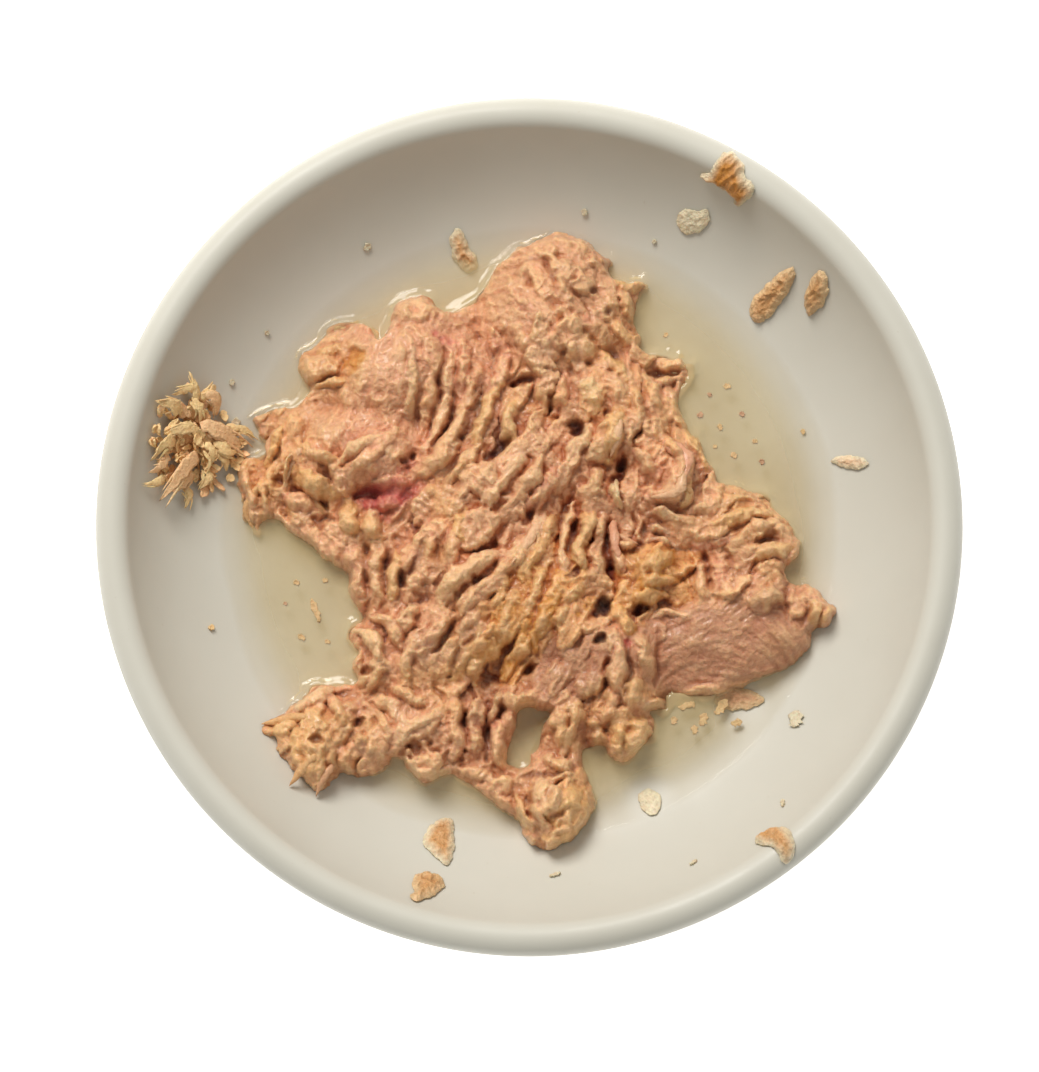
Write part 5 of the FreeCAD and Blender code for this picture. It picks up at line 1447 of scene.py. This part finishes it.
def scatter(name, shell, spots, material, seed, size=1.0, uneven=0.12):
    """One mesh of a kind of flake at many spots: (place, way it points, its up, sizes, tone)."""
    kind = make_piece(name + "_kind", *shell)
    mesh = bpy.data.meshes.new(name)
    mesh.from_pydata([tuple(np.array(spot[0]) * MM) for spot in spots], [], [])
    turns, sizes, tones = [], [], []
    for _, way, up, sides, tone in spots:
        x = Vector(way).normalized()
        z = (Vector(up) - x * x.dot(Vector(up))).normalized()
        y = z.cross(x)
        turns += list(Matrix((x, y, z)).transposed().to_euler())
        sizes += list(sides)
        tones += [*tone, 1.0]
    for label, sort, key, values in (
        ("turn", "FLOAT_VECTOR", "vector", turns),
        ("size", "FLOAT_VECTOR", "vector", sizes),
        ("tone", "FLOAT_COLOR", "color", tones),
    ):
        layer = mesh.attributes.new(label, sort, "POINT")
        layer.data.foreach_set(key, np.array(values, np.float32))
    holder = show(name, mesh)
    tree = scatter_tree(kind, material)
    modifier = holder.modifiers.new("scatter", "NODES")
    modifier.node_group = tree
    inputs = [item for item in tree.interface.items_tree if item.in_out == "INPUT"]
    sockets = {item.name: item.identifier for item in inputs}
    for label, value in (("Size", size), ("Uneven", uneven), ("Seed", seed)):
        modifier[sockets[label]] = value
    evaluated = holder.evaluated_get(bpy.context.evaluated_depsgraph_get())
    whole = bpy.data.meshes.new_from_object(evaluated)
    whole.polygons.foreach_set("use_smooth", [True] * len(whole.polygons))
    bpy.data.objects.remove(holder)
    bpy.data.objects.remove(kind)
    return show(name + "_flakes", whole)


def torn_flake(path, up, width, thick, curl, seed, around=8, torn=0.4):
    """A flake that follows a path in space: torn at its sides, blunt at its root and thin at
    its tip. The points lie in rings from the root to the tip."""
    chance = np.random.default_rng(seed)
    path = smooth_path(path, 5)
    count = len(path)
    run = np.gradient(path, axis=0)
    run /= np.linalg.norm(run, axis=1, keepdims=True)
    side = np.cross(np.broadcast_to(up, run.shape), run)
    side /= np.linalg.norm(side, axis=1, keepdims=True)
    over = np.cross(run, side)
    share = np.arange(count) / (count - 1)
    half = 0.5 * width * np.sin(math.pi * np.clip(share, 0.03, 0.985) ** 0.62) ** 0.8
    ragged = chance.uniform(0.85 - torn, 0.85 + torn, (2, count))
    points = [path[0]]
    for n in range(1, count - 1):
        for k in range(around):
            turn = 2 * math.pi * k / around
            across, above = math.cos(turn), math.sin(turn)
            reach = half[n] * ragged[0 if across > 0 else 1, n] * across
            lift = above * thick * 0.5 * (1 - 0.5 * abs(across)) * (1.1 - 0.6 * share[n])
            sway = 0.16 * across * math.sin(5 * share[n] + seed)
            lift += curl * width * (0.5 * across * across + sway)
            points.append(path[n] + side[n] * reach + over[n] * lift)
    points.append(path[-1])
    return np.array(points), ring_faces(count - 2, around)


def frayed_flake(path, up, width, thick, curl, seed, tone):
    """A torn flake with a few slivers that have come away from its sides."""
    chance = np.random.default_rng(seed + 40)
    side = np.cross(up, path[-1] - path[0])
    side /= np.linalg.norm(side)
    flakes = [(torn_flake(path, up, width, thick, curl, seed), tone)]
    for n in range(3):
        shift = side * width * (0.42 if n % 2 else -0.42) * chance.uniform(0.5, 1.1)
        start, stretch = chance.uniform(0.0, 0.35), chance.uniform(0.55, 0.95)
        spread = side * width * chance.uniform(-0.35, 0.35) + up * chance.uniform(-0.1, 0.5)
        root, middle, tip = (
            path[0] + (path[-1] - path[0]) * (start + stretch * t) for t in (0, 0.5, 1)
        )
        bend = path[1] - 0.5 * (path[0] + path[-1])
        own = np.array([root + shift, middle + shift + bend, tip + shift + spread])
        own_width = width * chance.uniform(0.22, 0.4)
        shell = torn_flake(own, up, own_width, 0.7 * thick, curl, seed + 50 + n, 5)
        flakes.append((shell, tint(tone, chance.uniform(-0.08, 0.12))))
    return flakes


def join_flakes(name, flakes):
    """One mesh object of several flakes, each with its points, its faces and its tone."""
    points, faces, tones, count = [], [], [], 0
    for (own, own_faces), tone in flakes:
        points.append(own)
        faces.append(own_faces + count)
        tones.append(np.broadcast_to(tone, (len(own), 3)))
        count += len(own)
    tones = np.clip(np.vstack(tones), 0, 1)
    return make_piece(name, np.vstack(points), np.vstack(faces), tones)


# The tuft's bearing from the dish's middle, and its share of the way up the wall.
TUFT_PLACE = (165.2, 0.67)

# The larger flakes of the tuft: tone, width, and the root, the middle and the tip of each,
# as places from above with a height over the wall.
TUFT_FLAKES = (
    ("blush", 3.4, (0.9, -2.4, 2.6, -2.6, -6.0, 3.4, -6.4, -11.2, 1.6)),
    ("straw", 1.9, (0.4, 5.2, 2.0, 0.0, 8.0, 2.6, -1.4, 11.2, 1.6)),
    ("straw", 2.2, (1.0, 6.6, 2.2, 2.4, 8.8, 2.8, 3.9, 10.2, 1.4)),
    ("straw", 1.8, (0.4, 9.2, 2.4, -1.4, 8.2, 2.4, -3.4, 6.6, 1.0)),
    ("blush", 2.4, (1.4, 8.6, 2.8, 3.4, 7.4, 3.0, 4.3, 4.6, 1.6)),
    ("straw", 3.0, (-1.4, 4.0, 1.6, -3.8, 4.9, 2.2, -6.6, 5.2, 0.9)),
    ("blush", 3.4, (0.8, 2.9, 3.2, 4.4, 1.9, 3.6, 8.2, -0.1, 1.6)),
    ("straw", 2.2, (5.2, 2.4, 1.6, 7.8, 3.4, 2.0, 10.4, 2.2, 0.9)),
    ("straw", 2.8, (1.4, 1.2, 2.8, -1.8, 1.6, 3.2, -4.8, -0.2, 1.4)),
    ("straw", 2.8, (-2.4, -0.6, 1.6, -5.0, -1.4, 2.4, -7.0, -4.6, 1.0)),
    ("straw", 2.2, (1.8, -0.4, 3.4, 2.8, -2.6, 3.8, 2.2, -5.2, 2.2)),
    ("straw", 2.4, (3.2, -0.2, 3.2, 5.4, -1.6, 3.4, 7.6, -1.4, 1.6)),
    ("straw", 1.8, (4.0, -1.9, 2.4, 5.2, -3.4, 2.6, 5.6, -5.6, 1.0)),
    ("straw", 2.4, (2.7, -4.8, 1.8, 2.4, -7.0, 2.2, 1.0, -9.3, 0.9)),
    ("straw", 1.6, (-1.0, -8.2, 1.0, -0.6, -10.2, 1.2, -1.5, -12.7, 0.8)),
    ("straw", 1.7, (-4.2, -7.0, 1.2, -6.0, -7.9, 1.4, -8.3, -8.3, 0.7)),
    ("blush", 2.2, (-3.4, -3.4, 1.4, -5.4, -5.2, 1.8, -7.2, -6.4, 0.8)),
    ("straw", 2.2, (-0.4, 7.2, 2.2, 0.6, 5.2, 3.2, 1.2, 2.6, 2.6)),
    ("blush", 2.6, (0.2, -5.6, 1.6, -1.4, -7.8, 2.0, -3.4, -9.6, 0.9)),
    ("ochre", 4.2, (-3.4, -2.6, 0.7, 0.8, 0.4, 1.0, 5.2, 2.0, 0.6)),
    ("ochre", 4.2, (1.6, 7.2, 0.7, 0.8, 2.0, 1.0, 1.4, -5.4, 0.6)),
)


def make_tuft(material):
    """The tuft on the left of the wall: large torn flakes, and small shreds among them."""
    lay = on_wall(*TUFT_PLACE)
    flakes = []
    for n, (tone, width, line) in enumerate(TUFT_FLAKES):
        drawn = np.array(line, dtype=float).reshape(-1, 3)
        path = lay(drawn[:, :2], drawn[:, 2])
        up = lay(drawn[1:2, :2], drawn[1:2, 2] + 1)[0] - path[1]
        tone = tint(TONES[tone], 0.05)
        flakes += frayed_flake(path, up, 0.95 * width, 0.9, 0.22, 500 + n, tone)
    piece = join_flakes("tuft_large_flakes", flakes)
    finish_piece(piece, material, "flaked_meat", "flake_tuft")

    chance = np.random.default_rng(221)
    spots = []
    for _ in range(120):
        angle, out = 2 * math.pi * chance.random(), chance.random() ** 0.6
        place = np.array([1.0 + out * 7.6 * math.cos(angle), -0.6 + out * 9.4 * math.sin(angle)])
        lift = 0.5 + chance.uniform(0.0, 2.6) * (1 - out * out)
        heading = angle + chance.normal(0, 0.9)
        step = 0.5 * np.array([math.cos(heading), math.sin(heading)])
        foot, ahead, above = lay(place, lift), lay(place + step, lift), lay(place, lift + 1.0)
        up = above - foot
        way = (ahead - foot) / 0.5 + up * chance.uniform(-0.1, 0.7)
        side = np.cross(up, way) * chance.normal(0, 0.5)
        tone = TONES[("straw", "straw", "blush", "straw", "ochre")[chance.integers(5)]]
        tone = tint(tone, chance.uniform(0.0, 0.2))
        sizes = (chance.uniform(0.4, 1.0), chance.uniform(0.5, 1.1), 1.0)
        spots.append((foot, way, up + side, sizes, tone))
    shell = flake_shell(3.8, 1.7, 0.5, 0.30, 0.3, 222)
    piece = scatter("tuft_shreds", shell, spots, material, 223)
    return finish_piece(piece, material, "flaked_meat", "flake_tuft")


# The flakes that stand out of the heap: tone, width, and the places that each runs through,
# from its root to its tip, with the last number how far the tip lifts.
HEAP_FLAKES = (
    ("pale", 2.0, (-40.5, 15.5, -42.3, 13, -43.6, 9), 0.9),
    ("ochre", 1.8, (-48.0, 9.0, -50.6, 4.5, -49.0, 0.2), 0.4),
    ("tan", 2.0, (-45.2, 19.4, -46.8, 16.0, -46.4, 12.6), 0.6),
    ("pink", 3.2, (23.4, 17.0, 27.8, 13.6, 27.2, 8.6), 1.0),
    ("pale", 2.2, (27.4, 11.0, 26.2, 7.4, 21.0, 6.4), 0.5),
    ("ochre", 1.5, (27.0, 8.4, 28.6, 7.2, 27.4, 5.2), 0.4),
    ("pale", 2.2, (15.2, 22.6, 15.8, 18.0, 14.2, 13.4), 0.5),
    ("cream", 1.2, (15.4, 10.0, 15.4, 7.6, 16.0, 5.0), 0.6),
    ("pink", 2.0, (14.8, 2.8, 15.0, -1.6, 16.4, -6.8), 0.9),
    ("tan", 1.4, (15.6, 0.0, 17.2, -1.0, 19.4, -1.8), 0.6),
    ("ochre", 2.2, (-38.4, -32.6, -42.8, -33.2, -47.2, -34.0), 0.4),
    ("ochre", 2.0, (-36.8, -38.8, -39.6, -42.0, -41.8, -44.6), 0.3),
    ("tan", 1.8, (-34.0, -40.6, -36.0, -43.6, -37.2, -46.6), 0.3),
    ("pale", 2.0, (2.6, 3.4, 0.0, -1.2, -3.6, -6.2), 0.6),
)


def make_heap_flakes(heap, material):
    """The thick soft flakes that stand out of the heap over a fold of their own."""
    flakes = []
    for n, (tone, width, line, tip) in enumerate(HEAP_FLAKES):
        path = heap.settle(pairs(line))
        heights = heap.plan.sample(heap.skin, *path.T) + np.array([-0.5, 0.1, tip - 0.3])
        placed = np.column_stack([path, heights])
        up = np.array([0.0, 0.0, 1.0])
        shell = torn_flake(placed, up, width, 0.7 + 0.45 * width, 0.10, 600 + n, 10, 0.22)
        tone = 0.85 * np.array(TONES[tone]) + 0.15 * np.array(TONES["cream"])
        flakes.append((shell, 1.08 * tone))
    piece = join_flakes("heap_torn_flakes", flakes)
    return finish_piece(piece, material, "flaked_meat", "food_heap")


# Crumbs on the dish and bits in the broth: place, length, width and tone.
CRUMBS = (
    (-29.8, 53.3, 1.5, 1.2, "film"), (-53.9, 27.7, 1.3, 1.0, "film"),
    (-47.8, 37.0, 1.0, 0.8, "film"), (10.1, 60.0, 1.3, 1.0, "film"),
    (22.9, 54.4, 1.0, 0.8, "film"), (49.5, 18.6, 1.2, 0.9, "straw"),
    (-56.4, -17.1, 1.1, 0.9, "straw"), (-53.1, 20.0, 2.6, 1.6, "film"),
    (46.9, -33.3, 3.0, 2.4, "film"), (4.4, -60.2, 2.0, 0.6, "film"),
    (28.2, -57.8, 1.8, 0.7, "film"), (43.8, -47.6, 1.6, 0.7, "film"),
)
BITS = (
    (-38.0, -14.0, 4.2, 1.0, "straw"), (-41.5, -9.0, 1.3, 0.9, "straw"),
    (-36.4, -8.6, 1.1, 0.8, "straw"), (-40.4, -18.8, 1.5, 0.9, "straw"),
    (-35.8, -19.6, 1.2, 0.8, "straw"), (-43.4, -12.8, 0.9, 0.7, "pale"),
    (29.4, 28.8, 1.2, 0.9, "straw"), (32.6, 25.4, 0.9, 0.8, "pale"),
    (35.8, 27.0, 1.3, 0.9, "straw"), (30.8, 21.6, 1.1, 0.9, "pale"),
    (34.4, 19.4, 1.4, 0.9, "straw"), (38.4, 21.8, 1.0, 0.8, "pale"),
    (40.6, 16.8, 1.2, 0.9, "straw"), (36.8, 14.2, 1.4, 1.0, "straw"),
    (41.8, 13.0, 1.0, 0.8, "pale"), (33.4, 15.8, 0.9, 0.7, "straw"),
    (27.6, 32.6, 1.0, 0.8, "straw"), (24.8, 36.6, 1.2, 0.8, "straw"),
    (27.4, -30.6, 3.4, 1.8, "straw"), (30.6, -33.4, 2.8, 1.6, "straw"),
    (33.8, -31.2, 3.6, 1.6, "straw"), (36.4, -34.0, 2.4, 1.4, "straw"),
    (29.0, -35.2, 1.8, 1.2, "straw"), (25.4, -33.6, 1.6, 1.2, "straw"),
    (-34.6, 36.2, 4.6, 3.0, "straw"), (-31.2, 37.8, 4.4, 2.8, "straw"),
    (-29.0, 36.4, 3.6, 2.4, "straw"),
)


def make_crumbs(material):
    """Crumbs that lie on the dish, and bits that float in the broth."""
    chance = np.random.default_rng(241)
    crumb_length, crumb_width = 3.0, 1.6
    shell = flake_shell(crumb_length, crumb_width, 0.5, 0.12, 0.35, 242)
    for name, listed, floats in (("dish", CRUMBS, False), ("broth", BITS, True)):
        level, lift, darker = (BROTH_LEVEL - 0.1, 0.0, 0.26) if floats else (0.0, 0.2, 0.09)
        spots = []
        for x, y, length, width, tone in listed:
            (px, py), = trued([(x, y)])
            surface = max(float(dish_height(math.hypot(px, py))), level)
            py -= (surface - WELL_FACE - DRAWN_AT) * Heap.DRAWN_SLANT
            radius = math.hypot(px, py)
            surface = max(float(dish_height(radius)), level)
            up_wall = 0.0 if floats else max(radius - WELL_RADIUS, 0) / WALL_RADIUS
            lean = math.asin(min(up_wall, 0.85))
            slope = -math.sin(lean)
            up = Vector((slope * px / radius, slope * py / radius, math.cos(lean)))
            turn = chance.uniform(0, math.pi)
            way = Vector((math.cos(turn), math.sin(turn), 0))
            way -= up * way.dot(up)
            place = Vector((px, py, surface)) + up * lift
            size = (length / crumb_length, width / crumb_width, 1.0)
            spots.append((tuple(place), way, up, size, tint(TONES[tone], -darker)))
        piece = scatter(name + "_crumb", shell, spots, material, 243)
        finish_piece(piece, material, "flaked_meat")


# ------------------------------------------------------------------ the whole dish, and its studio

heap = shape_heap()
firm = wet_meat("drier_meat", gloss=0.15, fine=1600.0, glow=0.08)
finish_piece(make_dish(), glazed_stoneware(), "dish_glaze", "dish")
make_heap(heap, wet_meat("wet_meat", gloss=0.65, fine=1300.0, glow=0.36))
make_broth(heap, clear_broth())
for number, node in enumerate(LOOSE_FLAKES):
    make_loose_flake(201 + number, node, firm)
make_tuft(firm)
make_heap_flakes(heap, wet_meat("thin_wet_meat", gloss=0.5, fine=1400.0, glow=0.12))
make_crumbs(firm)

FLOOR_REACH = 3.0  # in metres, as is all that follows
FLOOR_CORNERS = [(-1, -1), (1, -1), (1, 1), (-1, 1)]

mesh = bpy.data.meshes.new("floor")
corners = [(FLOOR_REACH * x, FLOOR_REACH * y, 0) for x, y in FLOOR_CORNERS]
mesh.from_pydata(corners, [], [(0, 1, 2, 3)])
mesh.materials.append(studio_floor())
floor = show("floor", mesh)

WINDOW_WAY = Vector((-0.26, 0.62, 0.78)).normalized()
WINDOW_DISTANCE = 1.1
WINDOW_SIZE = 0.5
WINDOW_POWER = 11.0
WINDOW_AIM = Vector((0, 0, 0.01))

window = bpy.data.lights.new("window", "AREA")
window.shape, window.size, window.energy = "SQUARE", WINDOW_SIZE, WINDOW_POWER
window.color = (1.0, 0.985, 0.96)
light = show("window", window)
light.location = WINDOW_WAY * WINDOW_DISTANCE + WINDOW_AIM
light.rotation_euler = WINDOW_WAY.to_track_quat("Z", "Y").to_euler()

world = bpy.data.worlds.new("studio")
bpy.context.scene.world = world
world.use_nodes = True
sky = world.node_tree.nodes["Background"].inputs
sky["Color"].default_value = (0.97, 0.98, 0.93, 1)
sky["Strength"].default_value = 0.42

CAMERA_LENS = 132.16
CAMERA_SHIFT = (-0.0091, -0.0166)
CAMERA_DISTANCE = 0.678
CAMERA_AIM = Vector((0, 0, 0.027))

camera_data = bpy.data.cameras.new("camera")
camera_data.lens = CAMERA_LENS
camera_data.shift_x, camera_data.shift_y = CAMERA_SHIFT
camera = show("camera", camera_data)
look = Vector((0, -math.cos(CAMERA_SLANT), math.sin(CAMERA_SLANT)))
camera.location = CAMERA_AIM + look * CAMERA_DISTANCE
camera.rotation_euler = look.to_track_quat("Z", "Y").to_euler()
bpy.context.scene.camera = camera
bpy.context.scene.view_settings.view_transform = "Standard"
